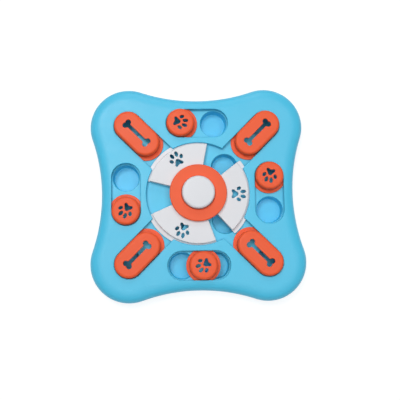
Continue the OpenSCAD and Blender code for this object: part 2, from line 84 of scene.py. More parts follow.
# Small bevels of the shell's and the tray's edges, and clearances of the screws in the holes
# that they pass through and in those that hold their threads.
SHELL_NIP = 0.35 * MM
SCREW_PLAY = 0.3 * MM
THREAD_PLAY = 0.03 * MM
# How far a cutting solid reaches past what it cuts.
PAST = 1 * MM
# Edges that turn by more than this stay sharp.
SHARP_TURN = math.radians(32)
# Distances within which points count as one: in a flat face, at a seam, and after a cut.
FLAT_REACH = 1e-6 * MM
SEAM_REACH = 1e-4 * MM
SLIVER_REACH = 2e-3 * MM


def low(node):
    """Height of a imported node's underside."""
    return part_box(node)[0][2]


def high(node):
    """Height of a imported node's top."""
    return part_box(node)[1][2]


def reach(node):
    """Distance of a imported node's right side from the middle of the toy."""
    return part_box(node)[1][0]


def length(name, description, default):
    """A length property in metres."""
    return bpy.props.FloatProperty(
        name=name, description=description, default=default, min=0.0, unit="LENGTH"
    )


def angle(name, description, degrees):
    """An angle property, given in degrees."""
    return bpy.props.FloatProperty(
        name=name, description=description, default=math.radians(degrees), unit="ROTATION"
    )


def colour(name, description, default):
    """A linear colour property."""
    return bpy.props.FloatVectorProperty(
        name=name, description=description, default=default, min=0.0, max=1.0, subtype="COLOR"
    )


class FeederBody(bpy.types.PropertyGroup):
    """Sizes of the shell and the tray."""

    lobe_r: length("Lobe Radius", "Radius of the rounded lobes", 45 * MM)
    side_arc: angle("Side Arc", "Angle that a hollow side spans between two lobes", 37.5)
    crown_r: length("Crown Radius", "Large radius of the shell's edge", 26 * MM)
    crown_angle: angle("Crown Angle", "Angle over which the large radius runs", 20)
    shoulder_r: length("Shoulder Radius", "Small radius of the shell's edge", 9 * MM)
    shell_wall: length("Shell Wall", "Thickness of the shell", 2.4 * MM)
    tray_wall: length("Tray Wall", "Thickness of the tray's side", 2 * MM)
    rim_z: length("Rim Height", "Height of the tray's rim over the floor", 1.6 * MM)
    recess_r: length("Recess Radius", "Radius of the recess of the fans", 60 * MM)
    slot_r: length("Slot Radius", "Half width of the slots and channels", 16.8 * MM)
    slot_row: length("Slot Row", "Distance of the side slots from the middle", 83.25 * MM)
    slot_edge: length("Slot Edge", "Rounding of the edges of the shell's openings", 0.9 * MM)
    slot_lip: length("Slot Lip", "Depth of the lip under the edge of a side slot", 1.4 * MM)
    lip_wall: length("Lip Wall", "Thickness of the lip under a side slot", 1.2 * MM)
    slot_corner: length("Slot Corner", "Rounding where a channel meets the recess", 1.6 * MM)
    run_play: length("Running Play", "Clearance under the sliding pieces", 0.15 * MM)
    deck_wall: length("Deck Wall", "Thickness of the deck", 1.8 * MM)


class FeederCups(bpy.types.PropertyGroup):
    """Sizes of the treat cups."""

    rim_r: length("Rim Radius", "Radius of a cup at its rim", 15.5 * MM)
    depth: length("Depth", "Depth of a cup under the deck", 13 * MM)
    draft: length("Draft", "Amount by which a cup is narrower at its floor", 0.8 * MM)
    fillet: length("Floor Fillet", "Radius between a cup's wall and floor", 1.4 * MM)
    rim_edge: length("Rim Edge", "Rounding of a cup's rim", 0.6 * MM)
    wall: length("Wall", "Wall of a cup", 1.6 * MM)
    pitch: length("Pitch", "Distance between the two cups of a side slot", 39 * MM)
    bone_row: length("Bone Cup Row", "Distance of the bones' cups from the middle", 113.6 * MM)
    fan_row: length("Fan Cup Row", "Distance of the fans' cups from the middle", 44.5 * MM)


class FeederCovers(bpy.types.PropertyGroup):
    """Sizes of the sliders and the fan covers."""

    cap_r: length("Cap Radius", "Half width of the sliders' caps", 16.3 * MM)
    bone_length: length("Bone Cap Length", "Length of a bone slider's cap", 60.9 * MM)
    cap_edge: length("Cap Edge", "Rounding of a cap's top edge", 3.2 * MM)
    flange_w: length("Flange Width", "Width of a flange beyond its cap", 3.6 * MM)
    flange_toe: length("Flange Toe", "Length of a bone slider's flange at its inner end", 4.7 * MM)
    flange_t: length("Flange Thickness", "Thickness of a flange", 1.6 * MM)
    wall: length("Cover Wall", "Wall of the caps and fans", 2 * MM)
    hole_edge: length("Hole Edge", "Rounding of the edges of the paw and bone holes", 0.35 * MM)
    paw_size: length("Paw Size", "Length of a paw hole from heel to toe tips", 16.2 * MM)
    bone_hole_l: length("Bone Hole Length", "Length of a bone hole", 38 * MM)
    bone_hole_w: length("Bone Hole Width", "Width of a bone hole at its knuckles", 11.2 * MM)
    bone_shaft_w: length("Bone Shaft Width", "Width of a bone hole's shaft", 4.3 * MM)
    fan_angle: angle("Fan Angle", "Angle that a fan cover spans", 86.3)
    fan_r: length("Fan Radius", "Outer radius of a fan cover", 58.3 * MM)
    fan_bore: length("Fan Bore", "Radius of a fan cover's bore", 26.3 * MM)
    fan_edge: length("Fan Edge", "Rounding of a fan cover's edges", 1.0 * MM)
    fan_corner: length("Fan Corner", "Rounding of a fan cover's corners", 1.4 * MM)
    fan_paw_row: length("Fan Paw Row", "Distance of a fan's paw hole from the middle", 46.5 * MM)
    lip_r: length("Lip Radius", "Radius of the fans' lip under the shell", 63 * MM)
    lip_t: length("Lip Thickness", "Thickness of the fans' lip", 1.2 * MM)


class FeederHub(bpy.types.PropertyGroup):
    """Sizes of the hub, ring, button and squeaker."""

    hub_r: length("Hub Radius", "Outer radius of the hub", 26 * MM)
    hub_wall: length("Hub Wall", "Wall of the hub", 2 * MM)
    hub_floor_z: length("Hub Floor Height", "Height of the underside of the hub's floor", 3.4 * MM)
    ring_edge: length("Ring Edge", "Rounding of the ring's edges", 1 * MM)
    tube_r: length("Tube Radius", "Outer radius of the ring's tube", 23.7 * MM)
    tube_wall: length("Tube Wall", "Wall of the ring's tube", 2.2 * MM)
    boss_r: length("Boss Radius", "Radius of the ring's screw bosses", 2.9 * MM)
    boss_top: length("Boss Top", "Height of the top of the ring's screw bosses", 20.65 * MM)
    play: length("Ring Play", "Clearance round the button and under the ring", 0.3 * MM)
    boss_lap: length("Boss Lap", "Length over which the ring's tube holds its bosses", 4 * MM)
    button_r: length("Button Radius", "Radius of the squeak button", 18.9 * MM)
    button_edge: length("Button Edge", "Rounding of the button's top edge", 2.6 * MM)
    button_crown: length("Button Crown", "Height of the button's crowned top", 0.35 * MM)
    button_wall: length("Button Wall", "Wall of the button", 2 * MM)
    button_flange: length("Button Flange", "Thickness of the button's flange", 2 * MM)
    plunger_r: length("Plunger Radius", "Radius of the plunger under the button", 6 * MM)
    fold_depth: length("Fold Depth", "Depth of the bulb's folds", 2.2 * MM)
    bulb_wall: length("Bulb Wall", "Wall of the squeaker bulb", 1.2 * MM)
    reed_hole_r: length("Reed Hole Radius", "Radius of the squeaker's air hole", 1.5 * MM)


class FeederFixings(bpy.types.PropertyGroup):
    """Sizes of the screws, feet and ribs."""

    screw_r: length("Screw Radius", "Radius over a screw's thread", 1.35 * MM)
    thread_depth: length("Thread Depth", "Depth of a screw's thread", 0.3 * MM)
    thread_pitch: length("Thread Pitch", "Pitch of a screw's thread", 1.1 * MM)
    head_r: length("Head Radius", "Radius of a screw's head", 3 * MM)
    head_h: length("Head Height", "Height of a screw's head", 1.6 * MM)
    cross_l: length("Cross Length", "Length of the cross in a screw's head", 3.3 * MM)
    cross_w: length("Cross Width", "Width of the cross in a screw's head", 0.7 * MM)
    pilot_depth: length("Pilot Depth", "Depth of the pilot holes in the ring's bosses", 10 * MM)
    boss_z: length("Boss Height", "Height of the seats of the shell's screws", 8 * MM)
    boss_wall: length("Boss Wall", "Wall round a screw", 2.2 * MM)
    screw_along: length("Screw Along", "Distance of the shell's screws along a side", 57 * MM)
    screw_across: length("Screw Across", "Distance of the shell's screws across a side", 97 * MM)
    foot_row: length("Foot Row", "Distance of the feet from the middle", 140 * MM)
    foot_wall: length("Foot Wall", "Wall round a rubber foot", 2 * MM)
    foot_plate: length("Foot Plate", "Thickness of the plate over a rubber foot", 1.6 * MM)
    rib_t: length("Rib Thickness", "Thickness of the ribs under the deck", 1.6 * MM)
    rib_h: length("Rib Height", "Height of the ribs under the deck", 7 * MM)


class FeederFinish(bpy.types.PropertyGroup):
    """Colours of the plastics, the vinyl, the rubber and the steel."""

    blue: colour("Body Blue", "Light-blue plastic of shell and tray", (0.066, 0.545, 0.81))
    orange: colour("Cover Orange", "Orange plastic of sliders and ring", (0.88, 0.112, 0.032))
    white: colour("Cover White", "White plastic of fans and button", (0.73, 0.745, 0.78))
    cream: colour("Bulb Cream", "Soft vinyl of the squeaker bulb", (0.72, 0.66, 0.5))
    rubber: colour("Foot Rubber", "Rubber of the feet", (0.05, 0.055, 0.065))
    steel: colour("Screw Steel", "Zinc-plated steel of the screws", (0.55, 0.56, 0.58))


# ---- Outlines: lists of (point, outward normal) in the plane ----


def arc(centre, radius, start, stop, steps):
    """An arc from start to stop in degrees. It is hollow where it turns clockwise."""
    side = 1 if stop > start else -1
    points = []
    for i in range(steps + 1):
        turn = math.radians(start + (stop - start) * i / steps)
        way = Vector((math.cos(turn), math.sin(turn)))
        points.append((Vector(centre) + radius * way, side * way))
    return points


def circle(centre, radius, steps):
    """A round outline."""
    return arc(centre, radius, 0, 360, steps)[:-1]


def stadium(x0, x1, radius):
    """A long outline along X with round ends centred on x0 and x1."""
    return arc((x1, 0), radius, -90, 90, 32) + arc((x0, 0), radius, 90, 270, 32)


def spot(turn, along, across=0.0):
    """A point along and across from the middle, turned by degrees."""
    return Matrix.Rotation(math.radians(turn), 2) @ Vector((along, across))


def moved(outline, turn=0.0, shift=(0, 0)):
    """The outline turned by degrees and then shifted."""
    spin = Matrix.Rotation(math.radians(turn), 2)
    return [(spin @ p + Vector(shift), spin @ n) for p, n in outline]


def with_normals(points):
    """A closed smooth curve, anticlockwise, with its normals."""
    count = len(points)
    outline = []
    for i, point in enumerate(points):
        tangent = points[(i + 1) % count] - points[i - 1]
        outline.append((point, Vector((tangent.y, -tangent.x)).normalized()))
    return outline


def body_outline(body):
    """The toy's plan: four lobes joined by hollow side arcs."""
    centre = reach("top_shell") - body.lobe_r
    half = body.side_arc / 2
    hollow_r = centre / math.sin(half) - body.lobe_r
    hollow = centre + centre / math.tan(half)
    half = math.degrees(half)
    corner = arc((centre, centre), body.lobe_r, -half, 90 + half, 48)[:-1]
    side = arc((0, hollow), hollow_r, -90 + half, -90 - half, 48)[:-1]
    return [pair for turn in QUARTERS for pair in moved(corner + side, turn)]


def recess_outline(body, cups):
    """The round recess with its four channels."""
    corner = body.slot_corner
    across = body.slot_r + corner
    along = math.sqrt((body.recess_r + corner) ** 2 - across**2)
    lean = math.degrees(math.atan2(across, along))
    quarter = (
        arc((along, -across), corner, 180 - lean, 90, 6)
        + arc((cups.bone_row, 0), body.slot_r, -90, 90, 32)
        + arc((along, across), corner, -90, lean - 180, 6)
        + arc((0, 0), body.recess_r, lean, 90 - lean, 32)[1:-1]
    )
    return [pair for turn in DIAGONALS for pair in moved(quarter, turn)]


def sector(inner, outer, half, inset, corner):
    """A fan's outline, its straight sides inset from the two rays at plus and minus half."""
    tip = math.degrees(math.asin((inset + corner) / (outer - corner)))
    heel = math.degrees(math.asin((inset + corner) / (inner + corner)))
    half = math.degrees(half)
    out_a = math.radians(half - tip)
    in_a = math.radians(half - heel)
    far = Vector((math.cos(out_a), math.sin(out_a))) * (outer - corner)
    near = Vector((math.cos(in_a), math.sin(in_a))) * (inner + corner)
    return (
        arc((0, 0), outer, tip - half, half - tip, 48)
        + arc(far, corner, half - tip, half + 90, 6)[1:]
        + arc(near, corner, half + 90, half - heel + 180, 6)
        + arc((0, 0), inner, half - heel, heel - half, 32)[1:-1]
        + arc((near.x, -near.y), corner, 180 - half + heel, 270 - half, 6)
        + arc((far.x, -far.y), corner, 270 - half, 360 - half + tip, 6)[:-1]
    )


def soft_loop(corners, steps):
    """A closed smooth curve through the corners."""
    count = len(corners)
    points = []
    for i in range(count):
        a, b, c, d = (Vector(corners[(i + k) % count]) for k in (-1, 0, 1, 2))
        for step in range(steps):
            t = step / steps
            bend = (2 * a - 5 * b + 4 * c - d) * t**2 + (3 * b - a - 3 * c + d) * t**3
            points.append(b + 0.5 * ((c - a) * t + bend))
    return points


# Half of the pad from its tip to the notch in its heel, and (x, y, half width, half
# length, lean) of the toes of one side, as parts of the paw's size.
PAD = (
    (0, 0.01),
    (0.11, -0.035),
    (0.21, -0.195),
    (0.31, -0.325),
    (0.295, -0.44),
    (0.2, -0.475),
    (0.09, -0.425),
    (0, -0.4),
)
TOES = ((0.178, 0.345, 0.123, 0.197, -10), (0.4, 0.035, 0.12, 0.165, -32))


def paw_outlines(size, turn, shift):
    """A pad and four toes; the toes point along +Y before the turn."""
    left = [(-x, y) for x, y in PAD[1:-1]]
    corners = [*left, *PAD[:0:-1], PAD[0]]
    outlines = [[point * size for point in soft_loop(corners, 4)]]
    steps = 24
    turns = [math.radians(360 / steps * i) for i in range(steps)]
    for side in (-1, 1):
        for x, y, rx, ry, lean in TOES:
            oval = [spot(side * lean, rx * math.cos(a), ry * math.sin(a)) for a in turns]
            outlines.append([(point + Vector((side * x, y))) * size for point in oval])
    return [moved(with_normals(points), turn, shift) for points in outlines]


def bone_outline(covers, shift):
    """A bone along X: a shaft with two knuckles at each end, its inner corners rounded."""
    knuckle = covers.bone_hole_w * 0.28
    neck = 1.5 * MM
    notch = 0.8 * MM
    kx = covers.bone_hole_l / 2 - knuckle
    ky = covers.bone_hole_w / 2 - knuckle
    shaft = covers.bone_shaft_w / 2
    neck_x = kx - math.sqrt((knuckle + neck) ** 2 - (shaft + neck - ky) ** 2)
    notch_x = kx + math.sqrt((knuckle + notch) ** 2 - ky**2)
    neck_a = math.degrees(math.atan2(shaft + neck - ky, kx - neck_x))
    notch_a = math.degrees(math.atan2(ky, notch_x - kx))
    end = (
        arc((neck_x, -shaft - neck), neck, 90, neck_a, 6)
        + arc((kx, -ky), knuckle, 180 + neck_a, 360 + notch_a, 20)[1:]
        + arc((notch_x, 0), notch, 180 + notch_a, 180 - notch_a, 6)[1:]
        + arc((kx, ky), knuckle, -notch_a, 180 - neck_a, 20)[1:]
        + arc((neck_x, shaft + neck), neck, -neck_a, -90, 6)[1:]
    )
    return moved(end + moved(end, 180), 0, shift)


def rounding(out, z, radius, start, stop, steps):
    """An arc of a section: (distance, height) pairs about a centre, angles in degrees."""
    turns = [math.radians(start + (stop - start) * i / steps) for i in range(steps + 1)]
    return [(out + radius * math.cos(a), z + radius * math.sin(a)) for a in turns]


# ---- Meshes ----


def crossings_left_of(points, ends):
    """How many of the edges (x0, y0, x1, y1) lie across from each point towards -X."""
    x, y = points[:, :1], points[:, 1:]
    x0, y0, x1, y1 = ends.T
    spans = (y0 > y) != (y1 > y)
    rise = np.where(y1 == y0, 1.0, y1 - y0)
    return np.sum(spans & (x0 + (y - y0) * (x1 - x0) / rise < x), axis=1)


class Skin:
    """A closed mesh put together from rings of points."""

    def __init__(self):
        self.points = []
        self.faces = []

    def add(self, points):
        """Adds points and returns their numbers."""
        start = len(self.points)
        self.points += points
        return list(range(start, len(self.points)))

    def ring(self, outline, out, z):
        """Adds the outline, grown outwards by a distance, at a height."""
        return self.add([(*(p + n * out), z) for p, n in outline])

    def bridge(self, one, two):
        """Joins two rings with quads."""
        count = len(one)
        for i in range(count):
            j = (i + 1) % count
            self.faces.append((one[i], one[j], two[j], two[i]))

    def peak(self, ring, tip):
        """Joins a ring to a single point with triangles."""
        for i, point in enumerate(ring):
            self.faces.append((point, ring[(i + 1) % len(ring)], tip))

    def strip(self, outline, section):
        """Sweeps a section of (distance out, height) pairs round an outline."""
        rings = [self.ring(outline, out, z) for out, z in section]
        for one, two in zip(rings, rings[1:]):
            self.bridge(one, two)
        return rings

    def fill(self, rings):
        """Fills the flat face inside the first ring and outside the others."""
        flat = []
        edges = []
        ids = []
        for ring in rings:
            start = len(flat)
            flat += [Vector(self.points[i][:2]) for i in ring]
            ids += ring
            edges += [(start + i, start + (i + 1) % len(ring)) for i in range(len(ring))]
        _, _, faces, origins, _, _ = delaunay_2d_cdt(flat, edges, [], 1, FLAT_REACH)
        corners = np.array([flat[origins[v][0]] for face in faces for v in face])
        middles = corners.reshape(-1, 3, 2).mean(axis=1)
        ends = np.array([(*flat[i], *flat[j]) for i, j in edges])
        for face, inside in zip(faces, crossings_left_of(middles, ends) % 2):
            if inside:
                self.faces.append([ids[origins[v][0]] for v in face])

    def close(self, ring):
        """Closes a round ring with triangles about its middle."""
        middle = sum((Vector(self.points[i]) for i in ring), Vector()) / len(ring)
        self.peak(ring, self.add([tuple(middle)])[0])

    def piece(self, name):
        """The mesh as an object, its seams closed and its faces turned outwards."""
        mesh = bpy.data.meshes.new(name)
        mesh.from_pydata(self.points, [], self.faces)
        work = bmesh.new()
        work.from_mesh(mesh)
        bmesh.ops.remove_doubles(work, verts=work.verts, dist=SEAM_REACH)
        bmesh.ops.recalc_face_normals(work, faces=work.faces)
        work.to_mesh(mesh)
        work.free()
        piece = bpy.data.objects.new(name, mesh)
        bpy.context.scene.collection.objects.link(piece)
        return piece


def lathe(skin, profile, steps, centre=(0, 0)):
    """Turns (radius, height) pairs about an upright axis. Ends on the axis are closed."""
    outline = circle(centre, 1, steps)
    rings = []
    for radius, z in profile:
        if radius > 0:
            rings.append(skin.ring(outline, radius - 1, z))
        else:
            rings.append(skin.add([(*centre, z)]))
    for one, two in zip(rings, rings[1:]):
        if len(one) == len(two):
            skin.bridge(one, two)
        elif len(two) == 1:
            skin.peak(one, two[0])
        else:
            skin.peak(two, one[0])


def turned(name, profile, steps, closed=False):
    """A turned piece. A closed profile is a ring that doesn't reach the axis."""
    skin = Skin()
    lathe(skin, profile + profile[:1] if closed else profile, steps)
    return skin.piece(name)


def block(skin, low_corner, high_corner, turn=0.0):
    """A box, turned about the toy's upright axis by degrees."""
    spin = Matrix.Rotation(math.radians(turn), 3, "Z")
    x0, y0, z0 = low_corner
    x1, y1, z1 = high_corner
    plan = ((x0, y0), (x1, y0), (x1, y1), (x0, y1))
    ids = skin.add([tuple(spin @ Vector((x, y, z))) for z in (z0, z1) for x, y in plan])
    base, lid = ids[:4], ids[4:]
    skin.faces.append(base[::-1])
    skin.faces.append(lid)
    skin.bridge(base, lid)


def rod(skin, centre, radius, z0, z1, steps=32):
    """An upright cylinder."""
    lathe(skin, [(0, z0), (radius, z0), (radius, z1), (0, z1)], steps, centre)


def combine(piece, skin, operation):
    """Joins solids to the piece or cuts them out of it."""
    tool = skin.piece("tool")
    modifier = piece.modifiers.new("combine", "BOOLEAN")
    modifier.solver = "MANIFOLD"
    modifier.operation = operation
    modifier.object = tool
    evaluated = piece.evaluated_get(bpy.context.evaluated_depsgraph_get())
    result = bpy.data.meshes.new_from_object(evaluated)
    if len(result.vertices) == len(piece.data.vertices):
        raise RuntimeError(f"{piece.name}: {operation} changed nothing")
    piece.modifiers.clear()
    piece.data = result
    bpy.data.objects.remove(tool)


def close_slivers(mesh):
    """Closes the faces without an area that cutting leaves behind."""
    work = bmesh.new()
    work.from_mesh(mesh)
    bmesh.ops.remove_doubles(work, verts=work.verts, dist=SLIVER_REACH)
    bmesh.ops.dissolve_degenerate(work, edges=work.edges, dist=SLIVER_REACH)
    work.to_mesh(mesh)
    work.free()


def dress(piece, finish, body, node):
    """Smooths a piece, gives it its finish, and puts it on its body in place of its node."""
    mesh = piece.data
    mesh.name = piece.name
    close_slivers(mesh)
    mesh.materials.clear()
    mesh.materials.append(finish_of(finish))
    mesh.shade_smooth()
    mesh.set_sharp_from_angle(angle=SHARP_TURN)
    weighted = piece.modifiers.new("even shading", "WEIGHTED_NORMAL")
    weighted.keep_sharp = True
    weighted.weight = 100
    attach(piece, body)
    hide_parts(node)


# ---- Materials ----


class Nodes:
    """A short way to build the nodes of a material or of the world."""

    def __init__(self, owner, output="ShaderNodeOutputMaterial"):
        owner.use_nodes = True
        self.tree = owner.node_tree
        self.tree.nodes.clear()
        self.output = self.add(output)
        self.place = None

    def set(self, node, socket, value):
        """Links an input to another node's socket, or sets it to a value."""
        if isinstance(value, bpy.types.NodeSocket):
            self.tree.links.new(value, node.inputs[socket])
        else:
            node.inputs[socket].default_value = value

    def add(self, kind, **settings):
        """A node, with its inputs set or linked."""
        node = self.tree.nodes.new(kind)
        for key, value in settings.items():
            self.set(node, key.replace("_", " ").title(), value)
        return node

    def finish(self, shader):
        """Puts a shader on the surface."""
        self.set(self.output, "Surface", shader.outputs[0])

    def noise(self, scale, detail, roughness=0.5):
        """Noise over the piece, in lumps of about one over the scale."""
        if self.place is None:
            self.place = self.add("ShaderNodeTexCoord").outputs["Object"]
        sizes = {"scale": scale, "detail": detail, "roughness": roughness}
        return self.add("ShaderNodeTexNoise", vector=self.place, **sizes).outputs["Fac"]

    def span(self, value, low_end, high_end):
        """Maps the middle of a noise onto a range."""
        node = self.add("ShaderNodeMapRange", value=value, from_min=0.3, from_max=0.7)
        self.set(node, "To Min", low_end)
        self.set(node, "To Max", high_end)
        return node.outputs["Result"]

    def blend(self, factor, one, two):
        """Mixes two colours."""
        node = self.add("ShaderNodeMix")
        node.data_type = "RGBA"
        # The colour inputs and output of a mix node share their names with the plain ones.
        self.set(node, 0, factor)
        self.set(node, 6, one)
        self.set(node, 7, two)
        return node.outputs[2]

    def either(self, factor, one, two):
        """Mixes two shaders."""
        node = self.add("ShaderNodeMixShader", fac=factor)
        self.set(node, 1, one.outputs[0])
        self.set(node, 2, two.outputs[0])
        return node

    def both(self, one, two):
        """Adds two shaders."""
        node = self.add("ShaderNodeAddShader")
        self.set(node, 0, one.outputs[0])
        self.set(node, 1, two.outputs[0])
        return node

    def background_rays(self):
        """One for the rays that show a background: from the camera, mirrored or let through."""
        rays = self.add("ShaderNodeLightPath").outputs
        shown = rays["Is Camera Ray"]
        for kind in ("Is Glossy Ray", "Is Transmission Ray"):
            node = self.add("ShaderNodeMath")
            node.operation = "MAXIMUM"
            self.set(node, 0, shown)
            self.set(node, 1, rays[kind])
            shown = node.outputs[0]
        return shown

    def bump(self, height, strength, distance, normal=None):
        """A bump from a height value, over another bump's normal where one is given."""
        node = self.add("ShaderNodeBump", height=height, strength=strength, distance=distance)
        if normal:
            self.set(node, "Normal", normal)
        return node.outputs["Normal"]


def shade(tone, factor):
    """A colour made lighter or darker, with its alpha."""
    return (*(min(1.0, c * factor) for c in tone), 1.0)


def moulded_plastic(name, tone, roughness=0.4, shine=0.5):
    """Moulded plastic: even colour with slow tints, a fine grain and slight flow marks."""
    material = bpy.data.materials.new(name)
    nodes = Nodes(material)
    cloud = nodes.noise(scale=14, detail=3)
    grain = nodes.noise(scale=2600, detail=2, roughness=0.6)
    orange_peel = nodes.noise(scale=260, detail=1)
    flow = nodes.noise(scale=60, detail=4)
    mottled = nodes.blend(nodes.span(cloud, 0, 1), shade(tone, 0.97), shade(tone, 1.03))
    speckled = nodes.blend(nodes.span(grain, 0, 1), shade(tone, 0.98), shade(tone, 1.02))
    soft = nodes.bump(orange_peel, strength=0.12, distance=0.15 * MM)
    surface = nodes.add(
        "ShaderNodeBsdfPrincipled",
        base_color=nodes.blend(nodes.span(orange_peel, 0.35, 0.65), mottled, speckled),
        roughness=nodes.span(flow, roughness - 0.04, roughness + 0.05),
        normal=nodes.bump(grain, strength=0.1, distance=0.04 * MM, normal=soft),
    )
    surface.inputs["IOR"].default_value = 1.49
    surface.inputs["Specular IOR Level"].default_value = shine
    nodes.finish(surface)
    return material


def rubber(name, tone, roughness):
    """Soft rubber or vinyl: dull, finely pitted, with dust-pale patches."""
    material = bpy.data.materials.new(name)
    nodes = Nodes(material)
    pits = nodes.noise(scale=1400, detail=3, roughness=0.7)
    dust = nodes.noise(scale=90, detail=4)
    surface = nodes.add(
        "ShaderNodeBsdfPrincipled",
        base_color=nodes.blend(nodes.span(dust, 0, 0.6), shade(tone, 1), shade(tone, 1.35)),
        roughness=nodes.span(pits, roughness - 0.08, roughness + 0.08),
        normal=nodes.bump(pits, strength=0.25, distance=0.08 * MM),
    )
    nodes.finish(surface)
    return material


def plated_steel(name, tone):
    """Zinc-plated steel with fine turning marks."""
    material = bpy.data.materials.new(name)
    nodes = Nodes(material)
    marks = nodes.noise(scale=3000, detail=2, roughness=0.8)
    stains = nodes.noise(scale=400, detail=3)
    surface = nodes.add(
        "ShaderNodeBsdfPrincipled",
        base_color=nodes.blend(nodes.span(stains, 0, 1), shade(tone, 0.85), shade(tone, 1)),
        roughness=nodes.span(marks, 0.24, 0.4),
        normal=nodes.bump(marks, strength=0.15, distance=0.03 * MM),
        metallic=1.0,
    )
    nodes.finish(surface)
    return material


def finish_of(kind):
    """The shared material of a kind, made the first time it is asked for."""
    made = bpy.data.materials.get(kind)
    if made:
        return made
    tones = bpy.context.scene.feeder_finish
    makers = {
        "body_plastic": lambda: moulded_plastic(kind, tones.blue),
        "orange_cover_plastic": lambda: moulded_plastic(kind, tones.orange, shine=0.25),
        "white_cover_plastic": lambda: moulded_plastic(kind, tones.white),
        "reed_plastic": lambda: moulded_plastic(kind, tones.white, roughness=0.25),
        "squeaker_vinyl": lambda: rubber(kind, tones.cream, roughness=0.5),
        "foot_rubber": lambda: rubber(kind, tones.rubber, roughness=0.75),
        "zinc_plated_steel": lambda: plated_steel(kind, tones.steel),
    }
    return makers[kind]()


# ---- Places ----


def middle_of(node):
    """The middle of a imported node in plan."""
    low_corner, high_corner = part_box(node)
    return Vector(((low_corner[0] + high_corner[0]) / 2, (low_corner[1] + high_corner[1]) / 2))


def foot_radius():
    """Radius of the rubber feet."""
    low_corner, high_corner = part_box("foot_northeast")
    return (high_corner[0] - low_corner[0]) / 2


def deck_height(body):
    """Height of the deck that the covers slide on."""
    return low("paw_slider_north") - body.run_play


def shoulder_height(body):
    """Height of the centre of the shell's shoulder arc."""
    rise = (body.crown_r - body.shoulder_r) * math.cos(body.crown_angle)
    return high("top_shell") - body.crown_r + rise


def ring_underside(hub):
    """Height of the hub ring's underside, just over the fans."""
    return high("fan_cover_east") + hub.play


def hub_floor_top(body, hub):
    """Height of the top of the hub's floor."""
    return hub.hub_floor_z + body.tray_wall


def screw_hole_radius(fixings):
    """Radius of a hole that a screw passes through."""
    return fixings.screw_r + SCREW_PLAY


def pilot_radius(fixings):
    """Radius of a hole that a screw's thread is held in."""
    return fixings.screw_r + THREAD_PLAY


def cup_places(body, cups):
    """The middles of the sixteen cups."""
    places = [
        spot(turn, side * cups.pitch / 2, body.slot_row) for turn in QUARTERS for side in (-1, 1)
    ]
    places += [spot(turn, row) for turn in DIAGONALS for row in (cups.fan_row, cups.bone_row)]
    return places


def shell_screw_places(fixings):
    """The middles of the shell's eight screws."""
    return [
        spot(turn, side * fixings.screw_along, fixings.screw_across)
        for turn in QUARTERS
        for side in (-1, 1)
    ]


def hub_screw_places(hub):
    """The middles of the ring's three screws."""
    row = hub.tube_r - hub.boss_r - hub.tube_wall / 2
    return [spot(turn, row) for turn in HUB_SCREWS]


# ---- Pieces ----


def opening_section(top, bottom, edge, nip, steps):
    """The wall of an opening, from its rounded upper edge down to a small bevel."""
    return rounding(edge, top - edge, edge, 90, 180, steps) + [(0, bottom + nip), (nip, bottom)]


